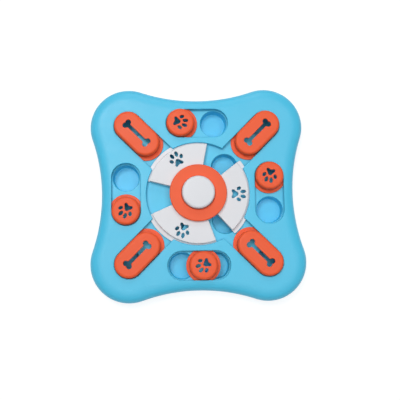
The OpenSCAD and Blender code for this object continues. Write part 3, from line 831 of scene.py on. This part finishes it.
class FEEDER_OT_top_shell(bpy.types.Operator):
    """Builds the pillow-shaped top shell with its recess, channels and slots"""

    bl_idname = "feeder.top_shell"
    bl_label = "Top Shell"

    def execute(self, context):
        scene = context.scene
        body = scene.feeder_body
        cups = scene.feeder_cups
        under = high("top_shell") - body.shell_wall
        piece = self.pillow(body, cups, under)
        self.add_slots(piece, body, cups, under)
        self.add_bosses(piece, body, scene.feeder_fixings, under)
        dress(piece, "body_plastic", BASE, "top_shell")
        return {"FINISHED"}

    def pillow(self, body, cups, under):
        """The swept edge and the flat top, open over the recess and its channels."""
        top = high("top_shell")
        parting = low("top_shell")
        wall = body.shell_wall
        crown = math.degrees(body.crown_angle)
        crown_z = top - body.crown_r
        crown_out = body.shoulder_r + (body.crown_r - body.shoulder_r) * math.sin(body.crown_angle)
        shoulder_z = shoulder_height(body)
        section = (
            rounding(-crown_out, crown_z, body.crown_r - wall, 90, 90 - crown, 6)
            + rounding(-body.shoulder_r, shoulder_z, body.shoulder_r - wall, 90 - crown, 0, 12)[1:]
            + [(-wall, parting), (-SHELL_NIP, parting), (0, parting + SHELL_NIP)]
            + rounding(-body.shoulder_r, shoulder_z, body.shoulder_r, 0, 90 - crown, 16)
            + rounding(-crown_out, crown_z, body.crown_r, 90 - crown, 90, 8)[1:]
        )
        skin = Skin()
        edge = skin.strip(body_outline(body), section)
        recess_wall = opening_section(top, under, body.slot_edge, SHELL_NIP, 6)
        recess = skin.strip(recess_outline(body, cups), recess_wall)
        skin.fill([edge[-1], recess[0]])
        skin.fill([edge[0], recess[-1]])
        return skin.piece("top_shell_cover")

    def add_slots(self, piece, body, cups, under):
        """The side slots, each with a lip under its edge."""
        nip = SHELL_NIP
        top = high("top_shell")
        edge = body.slot_edge
        wall = body.lip_wall
        lip_z = under - body.slot_lip
        lip = [
            (-nip, lip_z),
            (wall - nip, lip_z),
            (wall, lip_z + nip),
            (wall, under + nip),
            (-nip, under + nip),
            (-nip, lip_z),
        ]
        flare = (
            [(nip, lip_z - PAST), (nip, lip_z), (0, lip_z + nip)]
            + rounding(edge, top - edge, edge, 180, 90, 6)
            + [(edge, top + PAST)]
        )
        slot = moved(stadium(-cups.pitch / 2, cups.pitch / 2, body.slot_r), 0, (0, body.slot_row))
        lips = Skin()
        cuts = Skin()
        for turn in QUARTERS:
            outline = moved(slot, turn)
            lips.strip(outline, lip)
            rings = cuts.strip(outline, flare)
            cuts.fill([rings[0]])
            cuts.fill([rings[-1]])
        combine(piece, lips, "UNION")
        combine(piece, cuts, "DIFFERENCE")

    def add_bosses(self, piece, body, fixings, under):
        """Bosses down to the deck with pilot holes for the screws."""
        bosses = Skin()
        pilots = Skin()
        boss_r = screw_hole_radius(fixings) + fixings.boss_wall
        deck = deck_height(body)
        top = under + body.shell_wall / 2
        for place in shell_screw_places(fixings):
            rod(bosses, place, boss_r, deck, top, steps=48)
            rod(pilots, place, pilot_radius(fixings), deck - PAST, top)
        combine(piece, bosses, "UNION")
        combine(piece, pilots, "DIFFERENCE")


class FEEDER_OT_cup_tray(bpy.types.Operator):
    """Builds the tray with its deck, sixteen cups, hub, ribs and bosses"""

    bl_idname = "feeder.cup_tray"
    bl_label = "Cup Tray"

    def execute(self, context):
        scene = context.scene
        body = scene.feeder_body
        cups = scene.feeder_cups
        hub = scene.feeder_hub
        fixings = scene.feeder_fixings
        deck = deck_height(body)
        under = deck - body.deck_wall
        piece = self.deck_with_cups(body, cups, hub, deck, under)
        self.add_ribs(piece, body, cups, hub, fixings, under)
        self.add_bosses(piece, body, fixings, under)
        self.cut_holes(piece, body, hub, fixings, deck)
        dress(piece, "body_plastic", BASE, "cup_tray")
        return {"FINISHED"}

    def deck_with_cups(self, body, cups, hub, deck, under):
        """The swept side, the deck, the cups and the hub as one skin."""
        skin = Skin()
        edge = skin.strip(body_outline(body), self.side_section(body, hub, deck, under))
        above = [edge[-1]]
        below = [edge[0]]
        cup = self.cup_sections(cups, deck, under)
        hollows = [(circle(place, 0, steps=72), *cup) for place in cup_places(body, cups)]
        hollows.append((circle((0, 0), 0, steps=96), *self.hub_sections(body, hub, deck, under)))
        for outline, inside, outside in hollows:
            for section, openings in ((inside, above), (outside, below)):
                rings = skin.strip(outline, section)
                openings.append(rings[0])
                skin.close(rings[-1])
        skin.fill(above)
        skin.fill(below)
        return skin.piece("cup_tray_base")

    def side_section(self, body, hub, deck, under):
        """The tray's side, from the deck's underside down inside, round the rim and up outside."""
        nip = SHELL_NIP
        parting = low("top_shell")
        shoulder_z = shoulder_height(body)
        wall = body.shell_wall + hub.play
        outer = body.shoulder_r - wall
        inner = outer - body.tray_wall
        outer_a = math.degrees(math.asin((deck - shoulder_z) / outer))
        inner_a = math.degrees(math.asin((under - shoulder_z) / inner))
        tuck = parting - body.rim_z
        tuck_a = 60
        slack_a = 2
        knee_z = parting - 0.55 * tuck
        rim_out = tuck * (1 - math.cos(math.radians(tuck_a)))
        rim_in = rim_out + body.tray_wall
        return (
            rounding(-body.shoulder_r, shoulder_z, inner, inner_a, 0, 6)
            + [
                (-wall - body.tray_wall, knee_z),
                (-rim_in, body.rim_z + body.tray_wall),
                (-rim_in, body.rim_z + nip),
                (-rim_in + nip, body.rim_z),
                (-rim_out - nip, body.rim_z),
            ]
            + rounding(-tuck, parting, tuck, slack_a - tuck_a, -slack_a, 14)
            + [(-nip, parting), (-wall, parting)]
            + rounding(-body.shoulder_r, shoulder_z, outer, 0, outer_a, 6)
        )

    def cup_sections(self, cups, deck, under):
        """A cup's inside from its rim down, and its outside from the deck's underside down."""
        lean = math.atan(cups.draft / cups.depth)
        lean_a = math.degrees(lean)
        rim = cups.rim_edge
        rim_x = cups.rim_r + rim * (1 / math.cos(lean) - math.tan(lean))
        fillet = cups.fillet
        fillet_x = cups.rim_r - cups.draft + fillet * (math.tan(lean) - 1 / math.cos(lean))
        fillet_z = deck - cups.depth + fillet
        outside_x = cups.rim_r + cups.wall / math.cos(lean) + (under - deck) * math.tan(lean)
        inside = rounding(rim_x, deck - rim, rim, 90, 180 - lean_a, 6)
        inside += rounding(fillet_x, fillet_z, fillet, -lean_a, -90, 8)
        outside = [(outside_x, under)]
        outside += rounding(fillet_x, fillet_z, fillet + cups.wall, -lean_a, -90, 8)
        return inside, outside

    def hub_sections(self, body, hub, deck, under):
        """The hub from the deck up, over its rim and down to its floor, and its underside."""
        nip = SHELL_NIP
        top = ring_underside(hub)
        bore = hub.hub_r - hub.hub_wall
        root = 0.5 * MM
        soft = 1 * MM
        inside = rounding(hub.hub_r + root, deck + root, root, -90, -180, 4)
        inside += [(hub.hub_r, top - nip), (hub.hub_r - nip, top)]
        inside += [(bore + nip, top), (bore, top - nip)]
        inside += rounding(bore - soft, hub_floor_top(body, hub) + soft, soft, 0, -90, 6)
        outside = [(hub.hub_r, under)]
        outside += rounding(hub.hub_r - soft, hub.hub_floor_z + soft, soft, 0, -90, 6)
        return inside, outside

    def add_ribs(self, piece, body, cups, hub, fixings, under):
        """Ribs along the diagonals from the hub to the feet, and between the cups of a slot."""
        ribs = Skin()
        half = fixings.rib_t / 2
        bottom = under - fixings.rib_h
        into_deck = 0.3 * body.deck_wall
        top = under + into_deck
        gap = cups.pitch / 2 - cups.rim_r
        row = body.slot_row
        stretches = (
            (hub.hub_r - hub.hub_wall / 2, cups.fan_row - cups.rim_r),
            (cups.fan_row + cups.rim_r, cups.bone_row - cups.rim_r),
            (cups.bone_row + cups.rim_r, fixings.foot_row),
        )
        for turn in DIAGONALS:
            for start, stop in stretches:
                block(ribs, (start, -half, bottom), (stop, half, top), turn)
        for turn in QUARTERS:
            block(ribs, (-gap, row - half, bottom), (gap, row + half, top), turn)
        combine(piece, ribs, "UNION")

    def add_bosses(self, piece, body, fixings, under):
        """Sockets for the feet, each under a cross of ribs, and seats for the shell's screws."""
        rounds = Skin()
        crosses = [Skin(), Skin()]
        socket_r = foot_radius() + fixings.foot_wall
        seat_r = screw_hole_radius(fixings) + fixings.boss_wall
        plate_top = high("foot_northeast") + fixings.foot_plate
        half = fixings.rib_t / 2
        row = fixings.foot_row
        into_deck = 0.5 * MM
        top = under + into_deck
        for turn in DIAGONALS:
            rod(rounds, spot(turn, row), socket_r, body.rim_z, plate_top, steps=64)
            for cross, dx, dy in zip(crosses, (socket_r, half), (half, socket_r)):
                block(cross, (row - dx, -dy, plate_top - half), (row + dx, dy, top), turn)
        for place in shell_screw_places(fixings):
            rod(rounds, place, seat_r, fixings.boss_z, top, steps=48)
        combine(piece, rounds, "UNION")
        for cross in crosses:
            combine(piece, cross, "UNION")

    def cut_holes(self, piece, body, hub, fixings, deck):
        """Holes for the feet, the screws and the squeaker's reed."""
        holes = Skin()
        foot_r = foot_radius() + body.run_play
        foot_top = high("foot_northeast")
        reed_r = reach("squeaker_reed") + body.run_play
        hole_r = screw_hole_radius(fixings)
        over_floor = hub_floor_top(body, hub) + PAST / 2
        for turn in DIAGONALS:
            rod(holes, spot(turn, fixings.foot_row), foot_r, -PAST, foot_top, steps=64)
        for place in shell_screw_places(fixings):
            rod(holes, place, hole_r, 0, deck + PAST)
        for place in hub_screw_places(hub):
            rod(holes, place, hole_r, 0, over_floor)
        rod(holes, (0, 0), reed_r, 0, over_floor, steps=48)
        combine(piece, holes, "DIFFERENCE")


def cap_rings(skin, cap, flange, covers, node):
    """Sweeps a cap from its hollow's roof round the flange to its top; returns both end rings."""
    top = high(node)
    bottom = low(node)
    flange_top = bottom + covers.flange_t
    wall = covers.wall
    edge = covers.cap_edge
    nip = 0.3 * MM
    brim = 0.5 * MM
    root = 0.6 * MM
    soft = 1 * MM
    inner = skin.strip(
        cap, rounding(-wall - soft, top - wall - soft, soft, 90, 0, 6) + [(-wall, bottom + nip)]
    )
    rim = skin.strip(
        flange,
        [(-covers.flange_w - wall + nip, bottom)]
        + rounding(-nip, bottom + nip, nip, -90, 0, 3)
        + rounding(-brim, flange_top - brim, brim, 0, 90, 4),
    )
    outer = skin.strip(
        cap,
        rounding(root, flange_top + root, root, -90, -180, 4)
        + rounding(-edge, top - edge, edge, 0, 90, 8),
    )
    skin.bridge(inner[-1], rim[0])
    skin.bridge(rim[-1], outer[0])
    return inner[0], outer[-1]


def pierced_top(skin, roof, crest, holes, covers, top):
    """Closes a cover's top between its end rings, with holes through it."""
    nip = 0.15 * MM
    section = opening_section(top, top - covers.wall, covers.hole_edge, nip, 4)
    walls = [skin.strip(hole, section) for hole in holes]
    skin.fill([crest] + [rings[0] for rings in walls])
    skin.fill([roof] + [rings[-1] for rings in walls])


def slider(name, node, body, cap, flange, holes, covers):
    """An orange slider: a cap on its flange, with holes through its top."""
    skin = Skin()
    roof, crest = cap_rings(skin, cap, flange, covers, node)
    pierced_top(skin, roof, crest, holes, covers, high(node))
    dress(skin.piece(name), "orange_cover_plastic", body, node)


class FEEDER_OT_paw_sliders(bpy.types.Operator):
    """Builds the four round sliders with their paw-shaped holes"""

    bl_idname = "feeder.paw_sliders"
    bl_label = "Paw Sliders"

    def execute(self, context):
        covers = context.scene.feeder_covers
        for side, turn in PAWS.items():
            node = f"paw_slider_{side}"
            place = middle_of(node)
            cap = circle(place, covers.cap_r, steps=96)
            flange = circle(place, covers.cap_r + covers.flange_w, steps=96)
            holes = paw_outlines(covers.paw_size, turn - 90, place)
            slider(f"paw_cover_{side}", node, f"paw_{side}", cap, flange, holes, covers)
        return {"FINISHED"}


class FEEDER_OT_bone_sliders(bpy.types.Operator):
    """Builds the four long sliders with their bone-shaped holes"""

    bl_idname = "feeder.bone_sliders"
    bl_label = "Bone Sliders"

    def execute(self, context):
        covers = context.scene.feeder_covers
        row = context.scene.feeder_cups.bone_row
        flange_r = covers.cap_r + covers.flange_w
        inner = row + covers.cap_r - covers.bone_length
        toe = inner - covers.flange_toe
        middle = row + covers.cap_r - covers.bone_length / 2
        for corner, turn in CORNERS.items():
            cap = moved(stadium(inner + covers.cap_r, row, covers.cap_r), turn)
            flange = moved(stadium(toe + flange_r, row, flange_r), turn)
            holes = [moved(bone_outline(covers, (middle, 0)), turn)]
            node = f"bone_slider_{corner}"
            slider(f"bone_cover_{corner}", node, f"bone_{corner}", cap, flange, holes, covers)
        return {"FINISHED"}


class FEEDER_OT_fan_covers(bpy.types.Operator):
    """Builds the three fan covers with their lips and paw-shaped holes"""

    bl_idname = "feeder.fan_covers"
    bl_label = "Fan Covers"

    def execute(self, context):
        covers = context.scene.feeder_covers
        body = context.scene.feeder_body
        for name, turn in FANS.items():
            node = f"fan_cover_{name}"
            paw_turn = FAN_PAWS[name]
            skin = Skin()
            roof, crest = self.walls(skin, turn, node, covers, body)
            middle = spot(paw_turn, covers.fan_paw_row)
            holes = paw_outlines(covers.paw_size, paw_turn - 90, middle)
            pierced_top(skin, roof, crest, holes, covers, high(node))
            piece = skin.piece(f"fan_{name}")
            dress(piece, "white_cover_plastic", f"fan_{name}", node)
        return {"FINISHED"}

    def walls(self, skin, turn, node, covers, body):
        """Sweeps a fan from its hollow's roof round the lip to its top; returns both end rings."""
        top = high(node)
        bottom = low(node)
        wall = covers.wall
        half = covers.fan_angle / 2
        lip_top = high("top_shell") - body.shell_wall - 2 * body.run_play
        lip_low = lip_top - covers.lip_t
        lip_w = covers.lip_r - covers.fan_r
        lip_from = covers.fan_r - 0.9 * covers.fan_corner
        edge = covers.fan_edge
        nip = 0.25 * MM
        soft = 0.8 * MM
        hollow_corner = 1.2 * MM
        hollow = sector(covers.fan_bore + wall, covers.fan_r - wall, half, wall, hollow_corner)
        outline = moved(sector(covers.fan_bore, covers.fan_r, half, 0, covers.fan_corner), turn)
        lipped = [
            (point + point.normalized() * (lip_w if point.length > lip_from else 0), normal)
            for point, normal in outline
        ]
        inside = skin.strip(
            moved(hollow, turn),
            rounding(-soft, top - wall - soft, soft, 90, 0, 5) + [(0, bottom + nip)],
        )
        foot = skin.strip(
            outline, [(-wall + nip, bottom), (-nip, bottom), (0, bottom + nip), (0, lip_low)]
        )
        lip = skin.strip(lipped, [(0, lip_low), (0, lip_top)])
        outside = skin.strip(
            outline, [(0, lip_top)] + rounding(-edge, top - edge, edge, 0, 90, 6)
        )
        skin.bridge(inside[-1], foot[0])
        skin.bridge(foot[-1], lip[0])
        skin.bridge(lip[-1], outside[0])
        return inside[0], outside[-1]


class FEEDER_OT_hub_ring(bpy.types.Operator):
    """Builds the ring that holds the fans down, with its tube and bosses"""

    bl_idname = "feeder.hub_ring"
    bl_label = "Hub Ring"

    def execute(self, context):
        hub = context.scene.feeder_hub
        fixings = context.scene.feeder_fixings
        top = high("hub_ring")
        bottom = ring_underside(hub)
        foot = low("hub_ring")
        outer = reach("hub_ring")
        bore = hub.button_r + hub.play
        edge = hub.ring_edge
        nip = 0.3 * MM
        tube_in = hub.tube_r - hub.tube_wall
        tube_low = hub.boss_top - hub.boss_lap
        profile = (
            [(bore, bottom + nip)]
            + rounding(bore + edge, top - edge, edge, 180, 90, 6)
            + rounding(outer - edge, top - edge, edge, 90, 0, 8)
            + rounding(outer - nip, bottom + nip, nip, 0, -90, 3)
            + [(hub.tube_r, bottom), (hub.tube_r, tube_low), (tube_in, tube_low)]
            + [(tube_in, bottom), (bore + nip, bottom)]
        )
        piece = turned("hub_ring_cover", profile, steps=128, closed=True)
        bosses = Skin()
        pilots = Skin()
        for place in hub_screw_places(hub):
            rod(bosses, place, hub.boss_r, foot, hub.boss_top, steps=48)
            rod(pilots, place, pilot_radius(fixings), foot - PAST, foot + fixings.pilot_depth)
        combine(piece, bosses, "UNION")
        combine(piece, pilots, "DIFFERENCE")
        dress(piece, "orange_cover_plastic", BASE, "hub_ring")
        return {"FINISHED"}


class FEEDER_OT_squeak_button(bpy.types.Operator):
    """Builds the squeak button with its flange and plunger"""

    bl_idname = "feeder.squeak_button"
    bl_label = "Squeak Button"

    def execute(self, context):
        hub = context.scene.feeder_hub
        top = high("squeak_button")
        bottom = low("squeak_button")
        flange_r = reach("squeak_button")
        flange_play = 0.15 * MM
        flange_top = ring_underside(hub) - flange_play
        flange_low = flange_top - hub.button_flange
        nip = 0.3 * MM
        edge = hub.button_edge
        crown = hub.button_crown
        inner = hub.button_r - hub.button_wall
        under = top - hub.button_wall - crown
        shoulder = hub.button_r - edge
        steps = 8
        parts = [1 - i / steps for i in range(1, steps + 1)]
        profile = (
            [(0, bottom), (hub.plunger_r - nip, bottom), (hub.plunger_r, bottom + nip)]
            + [(hub.plunger_r, under), (inner, under), (inner, flange_low)]
            + [(flange_r - nip, flange_low), (flange_r, flange_low + nip)]
            + [(flange_r, flange_top - nip), (flange_r - nip, flange_top)]
            + [(hub.button_r, flange_top)]
            + rounding(shoulder, top - crown - edge, edge, 0, 90, 10)
            + [(shoulder * part, top - crown * part**2) for part in parts]
        )
        piece = turned("squeak_button_cap", profile, steps=128)
        dress(piece, "white_cover_plastic", "button", "squeak_button")
        return {"FINISHED"}


class FEEDER_OT_squeaker_bulb(bpy.types.Operator):
    """Builds the squeaker's folded bellows, which on the real toy shorten as the button goes down
    """

    bl_idname = "feeder.squeaker_bulb"
    bl_label = "Squeaker Bulb"

    def execute(self, context):
        hub = context.scene.feeder_hub
        bottom = low("squeaker_bulb")
        top = high("squeaker_bulb")
        height = top - bottom
        neck = reach("squeaker_reed")
        waist = reach("squeaker_bulb") - hub.fold_depth
        wall = hub.bulb_wall
        folds = 4
        steps = 12 * folds
        around = 96
        outer = []
        for i in range(steps + 1):
            swell = 0.5 - 0.5 * math.cos(2 * math.pi * folds * i / steps)
            outer.append((waist + hub.fold_depth * swell, bottom + height * i / steps))
        inner = [(r - wall, max(bottom + wall, min(top - wall, z))) for r, z in reversed(outer)]
        skin = Skin()
        lathe(skin, [(neck, bottom)] + outer + [(0, top)], around)
        lathe(skin, [(0, top - wall)] + inner + [(neck, bottom + wall)], around)
        count = len(skin.points)
        skin.bridge(list(range(around)), list(range(count - around, count)))
        piece = skin.piece("squeaker_bellows")
        dress(piece, "squeaker_vinyl", BASE, "squeaker_bulb")
        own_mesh(piece)
        return {"FINISHED"}


class FEEDER_OT_squeaker_reed(bpy.types.Operator):
    """Builds the squeaker's reed, a plug with an air hole"""

    bl_idname = "feeder.squeaker_reed"
    bl_label = "Squeaker Reed"

    def execute(self, context):
        bottom = low("squeaker_reed")
        top = high("squeaker_reed")
        outer = reach("squeaker_reed")
        bore = context.scene.feeder_hub.reed_hole_r
        nip = 0.2 * MM
        profile = [
            (bore, bottom + nip),
            (bore + nip, bottom),
            (outer - nip, bottom),
            (outer, bottom + nip),
            (outer, top - nip),
            (outer - nip, top),
            (bore + nip, top),
            (bore, top - nip),
        ]
        piece = turned("squeaker_reed_plug", profile, steps=64, closed=True)
        dress(piece, "reed_plastic", BASE, "squeaker_reed")
        return {"FINISHED"}


def screw_shaft(skin, place, seat, tip, fixings):
    """A pan head, head down, with a tapered, threaded shaft up to its tip."""
    around = 24
    rows_per_turn = 8
    point_l = 2.5 * MM
    blunt = 0.25
    root = fixings.screw_r - fixings.thread_depth
    head = rounding(0, seat, 1, -90, 0, 8)
    bowl = [(fixings.head_r * r, seat + fixings.head_h * (z - seat)) for r, z in head]
    lathe(skin, bowl + [(root, seat)], around, place)
    count = len(skin.points)
    last = list(range(count - around, count))
    rows = int((tip - seat) / fixings.thread_pitch * rows_per_turn)
    for row in range(rows + 1):
        z = seat + (tip - seat) * row / rows
        taper = min(1.0, (tip - z) / point_l + blunt)
        points = []
        for i in range(around):
            # The crest climbs by one pitch with each turn round the shaft.
            phase = (z - seat) / fixings.thread_pitch - i / around
            crest = 1 - abs(2 * (phase - math.floor(phase)) - 1)
            r = (root + fixings.thread_depth * crest) * taper
            a = 2 * math.pi * i / around
            points.append((place[0] + r * math.cos(a), place[1] + r * math.sin(a), z))
        ring = skin.add(points)
        skin.bridge(last, ring)
        last = ring
    skin.close(last)


class FEEDER_OT_screws(bpy.types.Operator):
    """Builds the shell's eight screws and the ring's three"""

    bl_idname = "feeder.screws"
    bl_label = "Screws"

    def execute(self, context):
        fixings = context.scene.feeder_fixings
        ring_places = hub_screw_places(context.scene.feeder_hub)
        self.screw_set("shell_screw_set", "shell_screws", shell_screw_places(fixings), fixings)
        self.screw_set("hub_screw_set", "hub_screws", ring_places, fixings)
        return {"FINISHED"}

    def screw_set(self, name, node, places, fixings):
        """Screws with a cross recess in each head, as one piece."""
        bottom = low(node)
        recess_top = bottom + fixings.head_h / 2
        half_l = fixings.cross_l / 2
        half_w = fixings.cross_w / 2
        skin = Skin()
        slots = [Skin(), Skin()]
        for x, y in places:
            screw_shaft(skin, (x, y), bottom + fixings.head_h, high(node), fixings)
            for slot, dx, dy in zip(slots, (half_l, half_w), (half_w, half_l)):
                block(slot, (x - dx, y - dy, bottom - PAST), (x + dx, y + dy, recess_top))
        piece = skin.piece(name)
        for slot in slots:
            combine(piece, slot, "DIFFERENCE")
        dress(piece, "zinc_plated_steel", BASE, node)


class FEEDER_OT_feet(bpy.types.Operator):
    """Builds the four rubber feet with their ribbed soles"""

    bl_idname = "feeder.feet"
    bl_label = "Feet"

    def execute(self, context):
        radius = foot_radius()
        bevel = 0.8 * MM
        nip = 0.2 * MM
        for corner in CORNERS:
            node = f"foot_{corner}"
            bottom = low(node)
            top = high(node)
            profile = self.sole(bottom)
            profile += rounding(radius - bevel, bottom + bevel, bevel, -90, 0, 6)
            profile += [(radius, top - nip), (radius - nip, top), (0, top)]
            skin = Skin()
            lathe(skin, profile, 64, centre=middle_of(node))
            dress(skin.piece(f"rubber_{node}"), "foot_rubber", BASE, node)
        return {"FINISHED"}

    def sole(self, bottom):
        """The underside of a foot from its middle out, with three round grooves."""
        first_r = 1.4 * MM
        pitch = 1.8 * MM
        width = 0.8 * MM
        depth = 0.35 * MM
        flank = 0.2 * MM
        profile = [(0, bottom)]
        for i in range(3):
            start = first_r + pitch * i
            stop = start + width
            profile += [(start, bottom), (start + flank, bottom + depth)]
            profile += [(stop - flank, bottom + depth), (stop, bottom)]
        return profile


class FEEDER_OT_stage(bpy.types.Operator):
    """Sets the floor, the lamps and the camera"""

    bl_idname = "feeder.stage"
    bl_label = "Stage"

    def execute(self, context):
        scene = context.scene
        scene.view_settings.view_transform = "Standard"
        self.add_floor(scene)
        self.add_lamps(scene)
        self.add_world(scene)
        self.add_camera(scene)
        return {"FINISHED"}

    def add_floor(self, scene):
        """A pale floor, white to the camera but for a soft shadow, and clear from below."""
        half = 3.0
        drop = 0.05 * MM
        plan = ((-half, -half), (half, -half), (half, half), (-half, half))
        mesh = bpy.data.meshes.new("floor")
        mesh.from_pydata([(x, y, -drop) for x, y in plan], [], [(0, 1, 2, 3)])
        floor = bpy.data.objects.new("floor", mesh)
        scene.collection.objects.link(floor)
        material = bpy.data.materials.new("pale_floor")
        nodes = Nodes(material)
        matt = nodes.add("ShaderNodeBsdfDiffuse", color=(0.85, 0.85, 0.86, 1))
        faint = nodes.add("ShaderNodeEmission", color=WHITE, strength=0.25)
        shadowed = nodes.add("ShaderNodeBsdfDiffuse", color=(0.3, 0.3, 0.3, 1))
        glow = nodes.add("ShaderNodeEmission", color=WHITE, strength=0.8)
        plain = nodes.both(matt, faint)
        top = nodes.either(nodes.background_rays(), plain, nodes.both(shadowed, glow))
        clear = nodes.add("ShaderNodeBsdfTransparent")
        below = nodes.add("ShaderNodeNewGeometry").outputs["Backfacing"]
        nodes.finish(nodes.either(below, top, clear))
        mesh.materials.append(material)

    def add_lamps(self, scene):
        """A broad lamp overhead, a small one over the far left corner and a weak one behind."""
        for name, place, size, power in (
            ("over_lamp", (0.05, 0.0, 2.0), 2.2, 28),
            ("key_lamp", (-0.5, 0.6, 1.85), 0.5, 9.5),
            ("back_lamp", (0.0, 1.6, 1.2), 0.6, 5),
        ):
            data = bpy.data.lights.new(name, "AREA")
            data.size = size
            data.energy = power
            lamp = bpy.data.objects.new(name, data)
            lamp.location = place
            lamp.rotation_euler = (-Vector(place)).to_track_quat("-Z", "Y").to_euler()
            scene.collection.objects.link(lamp)

    def add_world(self, scene):
        """Even light from all sides, white where the camera sees it."""
        scene.world = bpy.data.worlds.new("white_room")
        nodes = Nodes(scene.world, "ShaderNodeOutputWorld")
        room = nodes.add("ShaderNodeBackground", color=WHITE, strength=0.08)
        shown = nodes.add("ShaderNodeBackground", color=WHITE, strength=1.0)
        nodes.finish(nodes.either(nodes.background_rays(), room, shown))

    def add_camera(self, scene):
        """A camera high over the toy, leaning a little towards the near side."""
        pixels = 400
        pixel = 1.1565 * MM
        middle_column = 198.22
        middle_row = 193.25
        distance = 0.79
        tilt = math.radians(7.1)
        lean = math.radians(2.45)
        roll = math.radians(-1.04)
        aim_x = (pixels / 2 - middle_column) * pixel
        aim_y = -(pixels / 2 - middle_row) * pixel / math.cos(tilt)
        aim = Vector((aim_x, aim_y, high("top_shell")))
        away = Vector(
            (-math.sin(lean) * math.cos(tilt), -math.sin(tilt), math.cos(tilt) * math.cos(lean))
        )
        data = bpy.data.cameras.new("camera")
        data.sensor_width = 36
        data.lens = data.sensor_width * distance / (pixels * pixel)
        camera = bpy.data.objects.new("camera", data)
        camera.location = aim + away * distance
        back = away.normalized()
        right = Vector((0, 1, 0)).cross(back).normalized()
        up = back.cross(right)
        look = Matrix((right, up, back)).transposed().to_quaternion()
        camera.rotation_mode = "QUATERNION"
        camera.rotation_quaternion = look @ Quaternion((0, 0, 1), roll)
        scene.collection.objects.link(camera)
        scene.camera = camera


GROUPS = {
    "feeder_body": FeederBody,
    "feeder_cups": FeederCups,
    "feeder_covers": FeederCovers,
    "feeder_hub": FeederHub,
    "feeder_fixings": FeederFixings,
    "feeder_finish": FeederFinish,
}
OPERATORS = (
    FEEDER_OT_top_shell,
    FEEDER_OT_cup_tray,
    FEEDER_OT_paw_sliders,
    FEEDER_OT_bone_sliders,
    FEEDER_OT_fan_covers,
    FEEDER_OT_hub_ring,
    FEEDER_OT_squeak_button,
    FEEDER_OT_squeaker_bulb,
    FEEDER_OT_squeaker_reed,
    FEEDER_OT_screws,
    FEEDER_OT_feet,
    FEEDER_OT_stage,
)


class FEEDER_PT_panel(bpy.types.Panel):
    """Lists the feeder's pieces and sizes in the sidebar"""

    bl_idname = "FEEDER_PT_panel"
    bl_label = "Dog Puzzle Feeder"
    bl_space_type = "VIEW_3D"
    bl_region_type = "UI"
    bl_category = "Feeder"

    def draw(self, context):
        for operator in OPERATORS:
            self.layout.operator(operator.bl_idname)
        for name, group in GROUPS.items():
            box = self.layout.box()
            box.label(text=name.replace("_", " ").title())
            for key in group.__annotations__:
                box.prop(getattr(context.scene, name), key)


def register():
    for kind in (*GROUPS.values(), *OPERATORS, FEEDER_PT_panel):
        bpy.utils.register_class(kind)
    for name, group in GROUPS.items():
        setattr(bpy.types.Scene, name, bpy.props.PointerProperty(type=group))


def unregister():
    for name in GROUPS:
        delattr(bpy.types.Scene, name)
    for kind in (FEEDER_PT_panel, *reversed(OPERATORS), *reversed(GROUPS.values())):
        bpy.utils.unregister_class(kind)


def main():
    """Registers the sizes, the steps and the panel, then builds every piece and the stage."""
    register()
    for operator in OPERATORS:
        group, name = operator.bl_idname.split(".")
        getattr(getattr(bpy.ops, group), name)()


if __name__ == "__main__":
    main()
